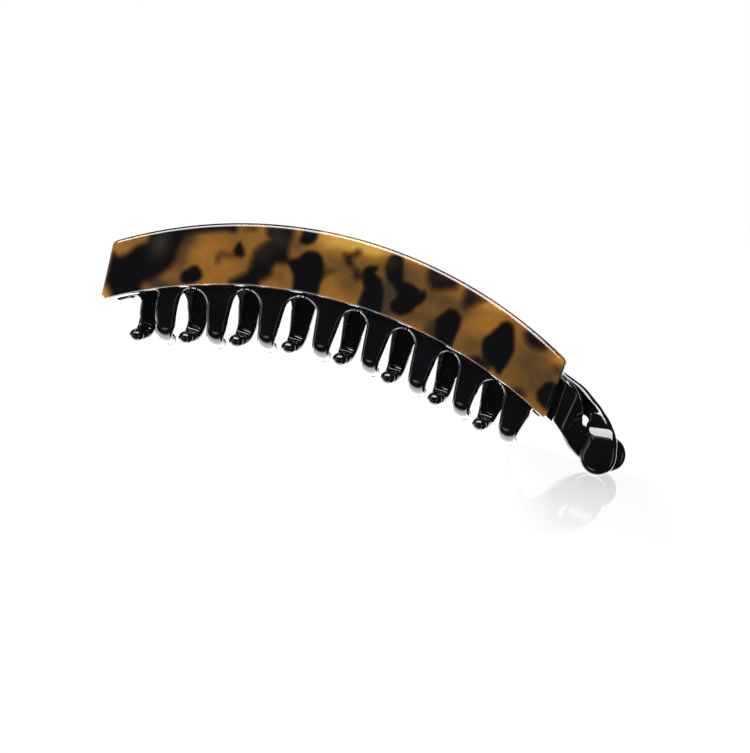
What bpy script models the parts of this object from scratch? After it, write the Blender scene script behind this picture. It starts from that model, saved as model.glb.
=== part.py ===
"""Banana hair clip: two black moulded jaws with interlocking teeth, hinged at the left end,
a tortoiseshell acetate plate on each jaw, and two thumb pads on crossing arms at the right.

The frame is in metres with +X along the clip towards the pads, -Y towards the front plate and
+Z up. The clip stands on its end teeth and its pads, and the origin is below its middle.

Each jaw is worked out on a flat sheet and then bent. On the sheet, x is the place along the
clip, w the height and v the depth, outwards from the sheet's middle. Above the hook the sheet
is a plane that leans outwards going down, and below it each tooth follows its own arc inwards.
"""

import math

import bmesh
import bpy
import numpy as np
from mathutils import Matrix, Vector

MM = 0.001

# Rail and plate outlines: arcs whose centres lie below the clip. The rear ones lie a little to the
# left of the front ones and end sooner, so that they stay behind the front plate.
APEX_Z = 37.1 * MM
TOP_RADIUS = {"front": 111.5 * MM, "rear": 109.0 * MM}
BOTTOM_APEX_Z = 21.9 * MM
BOTTOM_RADIUS = 115.0 * MM
ARC_X = {"front": -7.1 * MM, "rear": -9.2 * MM}
TOP_DROP = {"front": 0.0 * MM, "rear": 0.4 * MM}
LEFT_TOP_X = -64.3 * MM
LEFT_BOTTOM_X = -63.6 * MM
RIGHT_TOP_X = {"front": 47.4 * MM, "rear": 44.6 * MM}
RIGHT_BOTTOM_X = {"front": 46.7 * MM, "rear": 43.9 * MM}
RAIL_INSET = 0.25 * MM
RAIL_BELOW_PLATE = {"front": -0.2 * MM, "rear": 1.2 * MM}
CORNER_RADIUS = 1.0 * MM

# How the two jaws lean: nearly touching along the top and spreading downwards
LEAN = math.radians(5.0)
TOP_OFFSET_Y = 1.5 * MM
SHEET_THICKNESS = 2.3 * MM
EDGE_CHAMFER = 0.35 * MM

# Acetate plates
PLATE_THICKNESS = 2.2 * MM
PLATE_EDGE = 0.8 * MM
FIT_GAP = 0.3 * MM

# Teeth: the place of each along the clip and the height of its tip, in millimetres
TEETH = {
    "front": (
        (-47.4, 0.9), (-35.1, 3.2), (-22.9, 5.6), (-9.6, 7.0),
        (2.6, 6.7), (14.7, 5.1), (26.2, 2.9), (38.2, 0.1),
    ),
    "rear": (
        (-54.4, 0.0), (-42.5, 2.6), (-30.3, 5.1), (-17.6, 7.0),
        (-4.9, 7.6), (7.3, 6.5), (19.3, 4.7), (31.0, 1.9),
    ),
}
BALL_RADIUS = 1.5 * MM
TIP_CROSSING_Y = 1.9 * MM
HOOK_RADIUS = 3.1 * MM
HOOK_END = math.radians(83.0)
HOOK_CUTS = 6
ARCH_BELOW_PLATE = 0.9 * MM
ARCH_FOOT_HALF_WIDTH = 2.75 * MM
ARCH_HEIGHT = 3.4 * MM
ARCH_STEPS = 7
END_MARGIN = 6.1 * MM

# A tooth's half width, by its distance from the ball's centre along the sheet. The right side
# of the last tooth flares out to the rail.
TOOTH_SIDE = (
    # from ball, half width
    (0.0 * MM, 1.15 * MM),
    (1.2 * MM, 1.55 * MM),
    (3.0 * MM, 1.85 * MM),
    (6.0 * MM, 2.05 * MM),
    (9.5 * MM, 2.4 * MM),
)
LAST_SIDE = (
    # from ball, half width
    (0.0 * MM, 1.15 * MM),
    (1.2 * MM, 1.55 * MM),
    (3.0 * MM, 1.85 * MM),
    (6.0 * MM, 2.2 * MM),
    (11.5 * MM, 3.9 * MM),
)

# Hinge at the left end: knuckles on a vertical pin, the front jaw's outside the rear jaw's
HINGE_X = -59.5 * MM
KNUCKLE_RADIUS = 2.4 * MM
KNUCKLE_REACH_Y = 3.6 * MM
RELIEF_RADIUS = 2.8 * MM
RELIEF_BOTTOM_Z = 7.4 * MM
RELIEF_TOP_Z = 21.4 * MM
KNUCKLES = {
    "front": ((10.5 * MM, 11.9 * MM), (18.7 * MM, 20.1 * MM)),
    "rear": ((12.2 * MM, 13.6 * MM), (17.0 * MM, 18.4 * MM)),
}
PIN_RADIUS = 0.7 * MM
PIN_HOLE_RADIUS = 1.0 * MM
PIN_HEAD_RADIUS = 1.5 * MM
PIN_HEAD_THICKNESS = 0.6 * MM
SPRING_BOTTOM_Z = 13.9 * MM
SPRING_TOP_Z = 16.7 * MM
SPRING_WIRE_RADIUS = 0.25 * MM
SPRING_MEAN_RADIUS = 1.45 * MM
SPRING_TURNS = 3.5
SPRING_STEPS_PER_TURN = 12
SPRING_LEG = 3.6 * MM

# Thumb pads: round discs at the ends of the arms
PAD_X = {"front": 60.1 * MM, "rear": 60.35 * MM}
PAD_Y = 7.1 * MM
PAD_RADIUS = 4.1 * MM
PAD_THICKNESS = 2.2 * MM
PAD_EDGE = 0.6 * MM
PAD_SIDES = 24

# Arms, as sections across a bent ribbon: the inner edge (x, z), the outer edge (x, z), the
# depth y of the middle and the thickness, all in millimetres. The front jaw's arm starts at -Y
# and passes under. The rear jaw's starts at +Y and passes over.
FRONT_ARM = (
    # inner x, inner z, outer x, outer z, y, thickness
    (47.8, 9.2, 48.0, 19.4, -4.1, 2.6),
    (49.0, 7.9, 50.9, 17.7, -4.2, 2.6),
    (50.4, 6.2, 52.1, 16.0, -3.5, 2.4),
    (51.4, 4.6, 52.9, 13.6, -2.3, 2.2),
    (52.4, 3.4, 53.1, 10.8, -0.7, 2.1),
    (53.6, 2.2, 53.8, 9.2, 1.4, 2.1),
    (54.9, 1.3, 55.1, 8.6, 3.6, 2.1),
    (56.4, 0.9, 56.6, 8.4, 5.7, 2.1),
    (58.2, 0.8, 58.3, 8.2, 6.9, 2.0),
    (60.2, 1.2, 60.2, 7.6, 7.1, 1.6),
)
REAR_ARM = (
    # inner x, inner z, outer x, outer z, y, thickness
    (45.2, 9.6, 45.4, 20.0, 4.1, 2.6),
    (47.6, 9.9, 48.4, 18.9, 4.0, 2.6),
    (49.9, 10.4, 51.2, 17.8, 3.5, 2.5),
    (52.3, 11.0, 54.2, 16.1, 2.1, 2.4),
    (54.0, 11.3, 56.4, 15.0, 0.4, 2.3),
    (55.2, 11.2, 58.5, 13.6, -1.3, 2.2),
    (55.6, 10.8, 60.2, 12.3, -2.9, 2.2),
    (55.8, 10.2, 61.7, 10.9, -4.5, 2.2),
    (56.5, 9.4, 62.9, 9.7, -6.0, 2.1),
    (57.1, 8.0, 63.8, 8.0, -6.8, 2.0),
    (56.9, 6.0, 64.3, 6.0, -7.1, 1.9),
    (57.6, 4.4, 63.3, 4.4, -7.1, 1.6),
)
ARM_TAB = {
    # the part of the rail that carries the arm, past the plate's end
    "front": ((46.9, 9.9), (48.9, 8.3), (50.6, 17.2), (47.5, 19.3)),
    "rear": ((44.2, 9.9), (47.2, 10.0), (48.2, 18.2), (44.9, 20.1)),
}
ARM_STEPS = 2
ARM_CHAMFER = 0.45 * MM

BLACK = (0.012, 0.012, 0.014)
TORTOISE = (0.33, 0.15, 0.04)
STEEL = (0.55, 0.55, 0.56)


def clear_scene():
    """Remove whatever the scene starts with."""
    for obj in list(bpy.data.objects):
        bpy.data.objects.remove(obj, do_unlink=True)


def make_collection(name):
    """A new collection in the scene."""
    collection = bpy.data.collections.new(name)
    bpy.context.scene.collection.children.link(collection)
    return collection


def make_material(name, colour, roughness, metallic=0.0):
    """A Principled material with a colour, a roughness and a metallic value."""
    material = bpy.data.materials.new(name)
    material.use_nodes = True
    shader = material.node_tree.nodes["Principled BSDF"]
    shader.inputs["Base Color"].default_value = (*colour, 1.0)
    shader.inputs["Roughness"].default_value = roughness
    shader.inputs["Metallic"].default_value = metallic
    material.diffuse_color = (*colour, 1.0)
    return material


def add_object(name, bm, collection, material=None):
    """Turn a bmesh into an object with outward faces."""
    bm.normal_update()
    bmesh.ops.recalc_face_normals(bm, faces=bm.faces[:])
    mesh = bpy.data.meshes.new(name)
    bm.to_mesh(mesh)
    bm.free()
    obj = bpy.data.objects.new(name, mesh)
    collection.objects.link(obj)
    if material is not None:
        mesh.materials.append(material)
    return obj


def add_guide(name, bm, collection):
    """An object that only cuts another or is joined to it."""
    obj = add_object(name, bm, collection)
    obj.hide_render = True
    obj.display_type = "WIRE"
    return obj


def boolean(obj, operation, other):
    """Join another object to this one, or cut it out of it."""
    modifier = obj.modifiers.new(f"{operation.lower()}_{other.name}", "BOOLEAN")
    modifier.operation = operation
    modifier.solver = "EXACT"
    modifier.object = other


def arc_height(x, apex_z, radius, centre_x):
    """Height of an arc of a circle above the place x along the clip."""
    return apex_z - radius + math.sqrt(radius ** 2 - (x - centre_x) ** 2)


def plate_bottom(key, x):
    return arc_height(x, BOTTOM_APEX_Z, BOTTOM_RADIUS, ARC_X[key])


def plate_top(key, x):
    return arc_height(x, APEX_Z - TOP_DROP[key], TOP_RADIUS[key], ARC_X[key])


def rail_bottom(key, x):
    return plate_bottom(key, x) - RAIL_BELOW_PLATE[key]


def rail_top(key, x):
    return plate_top(key, x) - RAIL_INSET


def sheet_point(side, x, w, v):
    """Place a point of the leaning plane. side is -1 for the front jaw and 1 for the rear."""
    down = APEX_Z - w
    out = TOP_OFFSET_Y + down * math.sin(LEAN) + v * math.cos(LEAN)
    return Vector((x, side * out, APEX_Z - down * math.cos(LEAN) + v * math.sin(LEAN)))


class Tooth:
    """One tooth: where it stands, the arc that its hook follows and the straight end after it."""

    def __init__(self, side, x, tip_z):
        self.side = side
        self.x = x
        ball_z = tip_z + BALL_RADIUS
        turn_y = HOOK_RADIUS * (math.cos(LEAN) - math.cos(HOOK_END))
        turn_z = HOOK_RADIUS * (math.sin(LEAN) + math.sin(HOOK_END))
        reach = TOP_OFFSET_Y + TIP_CROSSING_Y + (APEX_Z - ball_z - turn_z) * math.tan(LEAN)
        straight = (reach - turn_y) / (math.sin(HOOK_END) + math.tan(LEAN) * math.cos(HOOK_END))
        drop = (APEX_Z - ball_z - turn_z - straight * math.cos(HOOK_END)) / math.cos(LEAN)
        self.start_w = APEX_Z - drop
        self.arc_length = HOOK_RADIUS * (LEAN + HOOK_END)
        self.end_w = self.start_w - self.arc_length - straight

    def bend(self, x, w, v):
        """Place a point of the sheet below the hook's start on the arc or the straight end."""
        past = self.start_w - w
        angle = min(past, self.arc_length) / HOOK_RADIUS - LEAN
        extra = max(past - self.arc_length, 0.0)
        start = sheet_point(-1, x, self.start_w, 0.0)
        along_y = HOOK_RADIUS * (math.cos(LEAN) - math.cos(angle)) + extra * math.sin(angle)
        along_z = HOOK_RADIUS * (math.sin(LEAN) + math.sin(angle)) + extra * math.cos(angle)
        y = start.y + along_y - v * math.cos(angle)
        return Vector((x, -self.side * y, start.z - along_z - v * math.sin(angle)))

    def side_points(self, direction, side_table):
        """Corners of one side, from the foot down to the ball. direction is -1 for the left."""
        points = []
        for distance, width in reversed(side_table):
            points.append((self.x + direction * width, self.end_w + distance))
        return points


def top_edge(left_x, right_x, height, steps=36):
    """Points of the top arc from right to left."""
    return [(x, height(x)) for x in np.linspace(right_x, left_x, steps)]


def comb_outline(key, teeth):
    """The flat outline of a rail with its teeth and the tab that carries the arm, anticlockwise
    from the bottom left."""
    left_bottom = LEFT_BOTTOM_X + RAIL_INSET
    left_top = LEFT_TOP_X + RAIL_INSET
    right_bottom = RIGHT_BOTTOM_X[key] - RAIL_INSET
    right_top = RIGHT_TOP_X[key] - RAIL_INSET
    first_x = teeth[0].x - TOOTH_SIDE[-1][1]
    points = []
    for x in np.linspace(left_bottom + CORNER_RADIUS, first_x, 4):
        points.append((x, rail_bottom(key, x)))
    for index, tooth in enumerate(teeth):
        is_last = index + 1 == len(teeth)
        points += [point for point in tooth.side_points(-1, TOOTH_SIDE) if point[1] < points[-1][1]]
        points += reversed(tooth.side_points(1, LAST_SIDE if is_last else TOOTH_SIDE))
        if not is_last:
            middle = (tooth.x + teeth[index + 1].x) / 2.0
            half_width = (teeth[index + 1].x - tooth.x) / 2.0 - ARCH_FOOT_HALF_WIDTH
            foot = plate_bottom(key, middle) - ARCH_BELOW_PLATE - ARCH_HEIGHT
            for angle in np.linspace(math.pi, 0.0, 2 * ARCH_STEPS + 1):
                arch_x = middle + half_width * math.cos(angle)
                points.append((arch_x, foot + ARCH_HEIGHT * math.sin(angle)))
    last_x = points[-1][0] + CORNER_RADIUS
    for x in np.linspace(last_x, right_bottom - CORNER_RADIUS, 4):
        points.append((x, rail_bottom(key, x)))
    points += [(x * MM, w * MM) for x, w in ARM_TAB[key]]
    points.append((right_top, rail_top(key, right_top) - CORNER_RADIUS))
    points += top_edge(
        left_top + CORNER_RADIUS, right_top - CORNER_RADIUS, lambda x: rail_top(key, x),
    )
    points.append((left_top, rail_top(key, left_top) - CORNER_RADIUS))
    points.append((left_bottom, rail_bottom(key, left_bottom) + CORNER_RADIUS))
    return points


def plate_outline(key):
    """The flat outline of a plate, anticlockwise from the bottom left."""
    right_bottom = RIGHT_BOTTOM_X[key]
    right_top = RIGHT_TOP_X[key]
    points = []
    for x in np.linspace(LEFT_BOTTOM_X + CORNER_RADIUS, right_bottom - CORNER_RADIUS, 30):
        points.append((x, plate_bottom(key, x)))
    points.append((right_bottom, plate_bottom(key, right_bottom) + CORNER_RADIUS))
    points.append((right_top, plate_top(key, right_top) - CORNER_RADIUS))
    points += top_edge(
        LEFT_TOP_X + CORNER_RADIUS, right_top - CORNER_RADIUS, lambda x: plate_top(key, x), 30,
    )
    points.append((LEFT_TOP_X, plate_top(key, LEFT_TOP_X) - CORNER_RADIUS))
    points.append((LEFT_BOTTOM_X, plate_bottom(key, LEFT_BOTTOM_X) + CORNER_RADIUS))
    return points


def slab(points, low, high):
    """A flat outline with a thickness: x and w in the plane and v for the depth."""
    bm = bmesh.new()
    base = bm.faces.new([bm.verts.new((x, low, w)) for x, w in points])
    grown = bmesh.ops.extrude_face_region(bm, geom=[base])
    moved = [item for item in grown["geom"] if isinstance(item, bmesh.types.BMVert)]
    bmesh.ops.translate(bm, verts=moved, vec=(0.0, high - low, 0.0))
    bmesh.ops.recalc_face_normals(bm, faces=bm.faces[:])
    return bm


def bevel_rim(bm, depth, width, segments=1):
    """Bevel the rim of a slab on the side that lies at a depth."""
    rim = []
    for edge in bm.edges:
        if all(abs(vert.co.y - depth) < 1e-6 for vert in edge.verts):
            rim.append(edge)
    bmesh.ops.bevel(
        bm, geom=rim, offset=width, offset_type="OFFSET", segments=segments,
        profile=0.5, affect="EDGES", clamp_overlap=False,
    )


def cut_across(bm, faces, point, normal):
    """Cut some faces along a plane and leave both halves."""
    geometry = set(faces)
    for face in faces:
        geometry.update(face.edges)
        geometry.update(face.verts)
    bmesh.ops.bisect_plane(
        bm, geom=list(geometry), dist=1e-7, plane_co=point, plane_no=normal,
    )


def make_comb(key, side, teeth):
    """A rail with its teeth, bent to shape."""
    half = SHEET_THICKNESS / 2.0
    bm = slab(comb_outline(key, teeth), -half, half)
    for depth in (-half, half):
        bevel_rim(bm, depth, EDGE_CHAMFER)
    gaps = [(a.x + b.x) / 2.0 for a, b in zip(teeth, teeth[1:])]
    borders = [teeth[0].x - END_MARGIN, *gaps, teeth[-1].x + END_MARGIN]
    for x in borders:
        cut_across(bm, bm.faces[:], (x, 0.0, 0.0), (1.0, 0.0, 0.0))
    for tooth, low_x, high_x in zip(teeth, borders, borders[1:]):
        for step in range(HOOK_CUTS + 1):
            w = tooth.start_w - tooth.arc_length * step / HOOK_CUTS
            column = []
            for face in bm.faces:
                if low_x < face.calc_center_median().x < high_x:
                    column.append(face)
            cut_across(bm, column, (0.0, 0.0, w), (0.0, 0.0, 1.0))
    bmesh.ops.triangulate(bm, faces=bm.faces[:])
    for vert in bm.verts:
        x, v, w = vert.co
        nearest = min(teeth, key=lambda tooth: abs(tooth.x - x))
        if w < nearest.start_w:
            vert.co = nearest.bend(x, w, v)
        else:
            vert.co = sheet_point(side, x, w, v)
    return bm


def make_balls(teeth):
    """The ball at the end of each tooth."""
    bm = bmesh.new()
    for tooth in teeth:
        place = Matrix.Translation(tooth.bend(tooth.x, tooth.end_w, 0.0))
        bmesh.ops.create_uvsphere(bm, u_segments=12, v_segments=6, radius=BALL_RADIUS, matrix=place)
    return bm


def smooth_rows(rows, steps):
    """A table's rows with others between them, on a curve through them (Catmull-Rom)."""
    table = np.array(rows, dtype=float)
    padded = np.vstack([2.0 * table[0] - table[1], table, 2.0 * table[-1] - table[-2]])
    result = []
    for index in range(len(table) - 1):
        a, b, c, d = padded[index:index + 4]
        for step in range(steps):
            t = step / steps
            bend = (2.0 * a - 5.0 * b + 4.0 * c - d) * t ** 2
            twist = (3.0 * b - a - 3.0 * c + d) * t ** 3
            result.append(0.5 * (2.0 * b + (c - a) * t + bend + twist))
    result.append(table[-1])
    return result


def make_arm(rows):
    """A ribbon lofted through sections with cut corners."""
    sections = smooth_rows(rows, ARM_STEPS)
    centres = []
    widths = []
    for inner_x, inner_z, outer_x, outer_z, y, _ in sections:
        inner = Vector((inner_x, y, inner_z)) * MM
        outer = Vector((outer_x, y, outer_z)) * MM
        centres.append((inner + outer) / 2.0)
        widths.append((outer - inner) / 2.0)
    bm = bmesh.new()
    rings = []
    for index, section in enumerate(sections):
        before = centres[max(index - 1, 0)]
        after = centres[min(index + 1, len(centres) - 1)]
        across = widths[index].normalized()
        depth = (after - before).cross(across).normalized()
        half_width = widths[index].length
        half_depth = section[5] * MM / 2.0
        cut = ARM_CHAMFER
        ring = []
        corners = (
            (half_width - cut, half_depth), (half_width, half_depth - cut),
            (half_width, cut - half_depth), (half_width - cut, -half_depth),
            (cut - half_width, -half_depth), (-half_width, cut - half_depth),
            (-half_width, half_depth - cut), (cut - half_width, half_depth),
        )
        for a, b in corners:
            ring.append(bm.verts.new(centres[index] + across * a + depth * b))
        rings.append(ring)
    for low, high in zip(rings, rings[1:]):
        for k in range(len(low)):
            n = (k + 1) % len(low)
            bm.faces.new((low[k], low[n], high[n], high[k]))
    bm.faces.new(rings[0])
    bm.faces.new(rings[-1])
    bmesh.ops.triangulate(bm, faces=bm.faces[:])
    return bm


def make_pad(key, y):
    """A thumb pad: a round disc with a bevelled rim, standing on the floor."""
    bm = bmesh.new()
    place = Matrix.Translation((PAD_X[key], y, PAD_RADIUS))
    place @= Matrix.Rotation(math.pi / 2.0, 4, "X")
    bmesh.ops.create_cone(
        bm, cap_ends=True, segments=PAD_SIDES, radius1=PAD_RADIUS, radius2=PAD_RADIUS,
        depth=PAD_THICKNESS, matrix=place,
    )
    rim = []
    for edge in bm.edges:
        if abs(edge.verts[0].co.y - edge.verts[1].co.y) < 1e-6:
            rim.append(edge)
    bmesh.ops.bevel(
        bm, geom=rim, offset=PAD_EDGE, segments=2, profile=0.5, affect="EDGES",
    )
    return bm


def make_cylinder(radius, low_z, high_z, sides=24):
    """A vertical cylinder on the hinge's axis."""
    bm = bmesh.new()
    place = Matrix.Translation((HINGE_X, 0.0, (low_z + high_z) / 2.0))
    bmesh.ops.create_cone(
        bm, cap_ends=True, segments=sides, radius1=radius, radius2=radius,
        depth=high_z - low_z, matrix=place,
    )
    return bm


def make_knuckles(side, ranges):
    """Hinge knuckles: half round towards the other jaw, straight back to their own rail."""
    outline = []
    for angle in np.linspace(0.0, math.pi, 13):
        outline.append((HINGE_X + KNUCKLE_RADIUS * math.cos(angle),
                        -side * KNUCKLE_RADIUS * math.sin(angle)))
    outline.append((HINGE_X - KNUCKLE_RADIUS, side * KNUCKLE_REACH_Y))
    outline.append((HINGE_X + KNUCKLE_RADIUS, side * KNUCKLE_REACH_Y))
    bm = bmesh.new()
    for low_z, high_z in ranges:
        base = bm.faces.new([bm.verts.new((x, y, low_z)) for x, y in outline])
        grown = bmesh.ops.extrude_face_region(bm, geom=[base])
        moved = [item for item in grown["geom"] if isinstance(item, bmesh.types.BMVert)]
        bmesh.ops.translate(bm, verts=moved, vec=(0.0, 0.0, high_z - low_z))
    return bm


def make_jaw(name, key, side, arm_rows, parts, guides, material):
    """A whole jaw: comb, balls, arm and pad in one, cleared for the hinge and given its
    knuckles and their pin hole."""
    teeth = [Tooth(side, x * MM, tip_z * MM) for x, tip_z in TEETH[key]]
    jaw = add_object(name, make_comb(key, side, teeth), parts, material)
    boolean(jaw, "UNION", add_guide(f"{key}_balls", make_balls(teeth), guides))
    boolean(jaw, "UNION", add_guide(f"{key}_arm", make_arm(arm_rows), guides))
    boolean(jaw, "UNION", add_guide(f"{key}_pad", make_pad(key, -side * PAD_Y), guides))
    relief = make_cylinder(RELIEF_RADIUS, RELIEF_BOTTOM_Z, RELIEF_TOP_Z)
    boolean(jaw, "DIFFERENCE", add_guide(f"{key}_relief", relief, guides))
    knuckles = make_knuckles(side, KNUCKLES[key])
    boolean(jaw, "UNION", add_guide(f"{key}_knuckles", knuckles, guides))
    hole = make_cylinder(PIN_HOLE_RADIUS, RELIEF_BOTTOM_Z, RELIEF_TOP_Z, 12)
    boolean(jaw, "DIFFERENCE", add_guide(f"{key}_pin_hole", hole, guides))


def make_plate(name, key, side, parts, material):
    """A tortoiseshell plate lying a small gap off the outer face of its rail."""
    low = SHEET_THICKNESS / 2.0 + FIT_GAP
    high = low + PLATE_THICKNESS
    bm = slab(plate_outline(key), low, high)
    bevel_rim(bm, high, PLATE_EDGE, 2)
    bmesh.ops.triangulate(bm, faces=bm.faces[:])
    for vert in bm.verts:
        x, v, w = vert.co
        vert.co = sheet_point(side, x, w, v)
    add_object(name, bm, parts, material)


def make_pin(parts, material):
    """The hinge rivet: a shaft with a head at each end, turned about the hinge's axis."""
    low = KNUCKLES["front"][0][0] - FIT_GAP
    high = KNUCKLES["front"][1][1] + FIT_GAP
    profile = (
        (0.0, high + PIN_HEAD_THICKNESS),
        (PIN_HEAD_RADIUS, high + PIN_HEAD_THICKNESS),
        (PIN_HEAD_RADIUS, high),
        (PIN_RADIUS, high),
        (PIN_RADIUS, low),
        (PIN_HEAD_RADIUS, low),
        (PIN_HEAD_RADIUS, low - PIN_HEAD_THICKNESS),
        (0.0, low - PIN_HEAD_THICKNESS),
    )
    mesh = bpy.data.meshes.new("hinge_pin")
    edges = [(k, k + 1) for k in range(len(profile) - 1)]
    mesh.from_pydata([(r, 0.0, z) for r, z in profile], edges, [])
    mesh.materials.append(material)
    pin = bpy.data.objects.new("hinge_pin", mesh)
    pin.location = (HINGE_X, 0.0, 0.0)
    parts.objects.link(pin)
    screw = pin.modifiers.new("turn", "SCREW")
    screw.steps = 16
    screw.render_steps = 16
    screw.use_merge_vertices = True
    screw.merge_threshold = 1e-5


def make_spring(parts, material):
    """The torsion spring: a coil around the pin with a leg along each jaw's short end."""
    low = SPRING_BOTTOM_Z + SPRING_WIRE_RADIUS
    rise = SPRING_TOP_Z - SPRING_WIRE_RADIUS - low
    points = [(HINGE_X - SPRING_LEG, -SPRING_MEAN_RADIUS, low)]
    count = int(SPRING_TURNS * SPRING_STEPS_PER_TURN)
    for step in range(count + 1):
        angle = -math.pi / 2.0 + 2.0 * math.pi * step / SPRING_STEPS_PER_TURN
        x = HINGE_X + SPRING_MEAN_RADIUS * math.cos(angle)
        points.append((x, SPRING_MEAN_RADIUS * math.sin(angle), low + rise * step / count))
    points.append((HINGE_X - SPRING_LEG, SPRING_MEAN_RADIUS, low + rise))
    curve = bpy.data.curves.new("torsion_spring", "CURVE")
    curve.dimensions = "3D"
    curve.bevel_depth = SPRING_WIRE_RADIUS
    curve.bevel_resolution = 1
    curve.use_fill_caps = True
    spline = curve.splines.new("POLY")
    spline.points.add(len(points) - 1)
    for point, place in zip(spline.points, points):
        point.co = (*place, 1.0)
    curve.materials.append(material)
    spring = bpy.data.objects.new("torsion_spring", curve)
    parts.objects.link(spring)


def main():
    clear_scene()
    parts = make_collection("banana_hair_clip")
    guides = make_collection("guides")
    black = make_material("black_plastic", BLACK, 0.12)
    tortoise = make_material("tortoise_acetate", TORTOISE, 0.08)
    steel = make_material("steel", STEEL, 0.3, 1.0)
    make_jaw("front_jaw", "front", -1, FRONT_ARM, parts, guides, black)
    make_jaw("rear_jaw", "rear", 1, REAR_ARM, parts, guides, black)
    make_plate("front_plate", "front", -1, parts, tortoise)
    make_plate("rear_plate", "rear", 1, parts, tortoise)
    make_pin(parts, steel)
    make_spring(parts, steel)


main()
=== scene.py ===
"""Looks of the banana hair clip: two glossy black moulded jaws, tortoiseshell acetate plates and
steel hinge fittings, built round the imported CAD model. All lengths are in metres.

A flat moulding is first worked out on a flat sheet, where x is the place along the clip, w the
height and v the depth, outwards from the sheet's middle. It is then given its thickness and its
rounded rim, and bent into place.
"""

import logging
import math
from dataclasses import dataclass
from enum import Enum
from typing import Callable

import bmesh
import bpy
import numpy as np
from mathutils import Matrix, Vector

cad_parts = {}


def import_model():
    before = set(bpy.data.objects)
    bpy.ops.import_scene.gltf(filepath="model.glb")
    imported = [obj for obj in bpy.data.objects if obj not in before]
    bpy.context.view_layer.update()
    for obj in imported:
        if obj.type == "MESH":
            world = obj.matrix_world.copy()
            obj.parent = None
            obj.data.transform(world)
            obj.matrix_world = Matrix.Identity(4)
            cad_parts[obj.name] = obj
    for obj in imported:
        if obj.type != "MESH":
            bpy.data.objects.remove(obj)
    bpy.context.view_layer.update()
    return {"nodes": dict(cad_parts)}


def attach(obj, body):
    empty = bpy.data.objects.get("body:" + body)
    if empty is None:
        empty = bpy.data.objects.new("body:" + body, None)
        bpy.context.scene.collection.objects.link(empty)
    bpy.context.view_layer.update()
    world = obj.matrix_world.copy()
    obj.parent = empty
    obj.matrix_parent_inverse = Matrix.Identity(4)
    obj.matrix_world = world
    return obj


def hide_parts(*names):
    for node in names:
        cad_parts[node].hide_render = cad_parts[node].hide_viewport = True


MM = 0.001
LOG = logging.getLogger("banana_hair_clip")

LEAN = math.radians(5.0)
APEX_Z = 37.1 * MM
TOP_OFFSET_Y = 1.5 * MM
SHEET_THICKNESS = 2.3 * MM
PLATE_GAP = 0.3 * MM
PLATE_THICKNESS = 2.2 * MM
PLATE_BACK = SHEET_THICKNESS / 2.0 + PLATE_GAP
PLATE_FACE = PLATE_BACK + PLATE_THICKNESS

Array = np.ndarray
Socket = bpy.types.NodeSocket
Value = float | Socket


class Side(Enum):
    """Which jaw a piece belongs to. The value is the sign of that side's y."""

    FRONT = -1.0
    REAR = 1.0

    @property
    def body(self) -> str:
        """Name of the CAD body that the side's pieces ride on."""
        return self.name.lower()


class Grade(Enum):
    """How strongly a patch of the tortoiseshell shows: its darkness and the softness of its edge."""

    SOLID = (1.0, 1.0 * MM)
    MELTED = (1.0, 1.7 * MM)
    SOFT = (0.8, 1.6 * MM)
    FAINT = (0.48, 1.6 * MM)


@dataclass(frozen=True)
class Arc:
    """An arc of a circle whose centre lies below the clip."""

    apex_z: float
    radius: float
    centre_x: float

    def height(self, x: Array) -> Array:
        """Height above x: apex less radius, plus the root of radius squared less (x - centre) squared."""
        return self.apex_z - self.radius + np.sqrt(self.radius**2 - (x - self.centre_x) ** 2)


@dataclass(frozen=True)
class Outline:
    """Where one side's rail and plate lie on the sheet."""

    top: Arc
    bottom: Arc
    right_bottom_x: float
    right_top_x: float
    rail_below_plate: float
    left_bottom_x: float = -63.6 * MM
    left_top_x: float = -64.3 * MM
    rail_inset: float = 0.25 * MM

    def rail_bottom(self, x: Array) -> Array:
        """Height of the rail's lower edge."""
        return self.bottom.height(x) - self.rail_below_plate

    def rail_top(self, x: Array) -> Array:
        """Height of the rail's upper edge."""
        return self.top.height(x) - self.rail_inset

    def near_end(self, x: Array, reach: float) -> Array:
        """Whether each x lies within a reach of the plate's left or right end."""
        return np.minimum(x - self.left_top_x, self.right_top_x - x) < reach


BOTTOM_APEX_Z = 21.9 * MM
BOTTOM_RADIUS = 115.0 * MM
FRONT_CENTRE_X = -7.1 * MM
REAR_CENTRE_X = -9.2 * MM
OUTLINES = {
    Side.FRONT: Outline(
        top=Arc(APEX_Z, 111.5 * MM, FRONT_CENTRE_X),
        bottom=Arc(BOTTOM_APEX_Z, BOTTOM_RADIUS, FRONT_CENTRE_X),
        right_bottom_x=46.7 * MM,
        right_top_x=47.4 * MM,
        rail_below_plate=-0.2 * MM,
    ),
    Side.REAR: Outline(
        top=Arc(36.7 * MM, 109.0 * MM, REAR_CENTRE_X),
        bottom=Arc(BOTTOM_APEX_Z, BOTTOM_RADIUS, REAR_CENTRE_X),
        right_bottom_x=43.9 * MM,
        right_top_x=44.6 * MM,
        rail_below_plate=1.2 * MM,
    ),
}


@dataclass
class Shell:
    """A closed surface as whole arrays: its points and its quads and triangles."""

    points: Array
    quads: Array
    triangles: Array

    def moved(self, place: Callable[[Array], Array]) -> "Shell":
        """The same faces with their points put through a placing function."""
        return Shell(place(self.points), self.quads, self.triangles)


def no_triangles() -> Array:
    """An empty list of triangles."""
    return np.zeros((0, 3), dtype=int)


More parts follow.
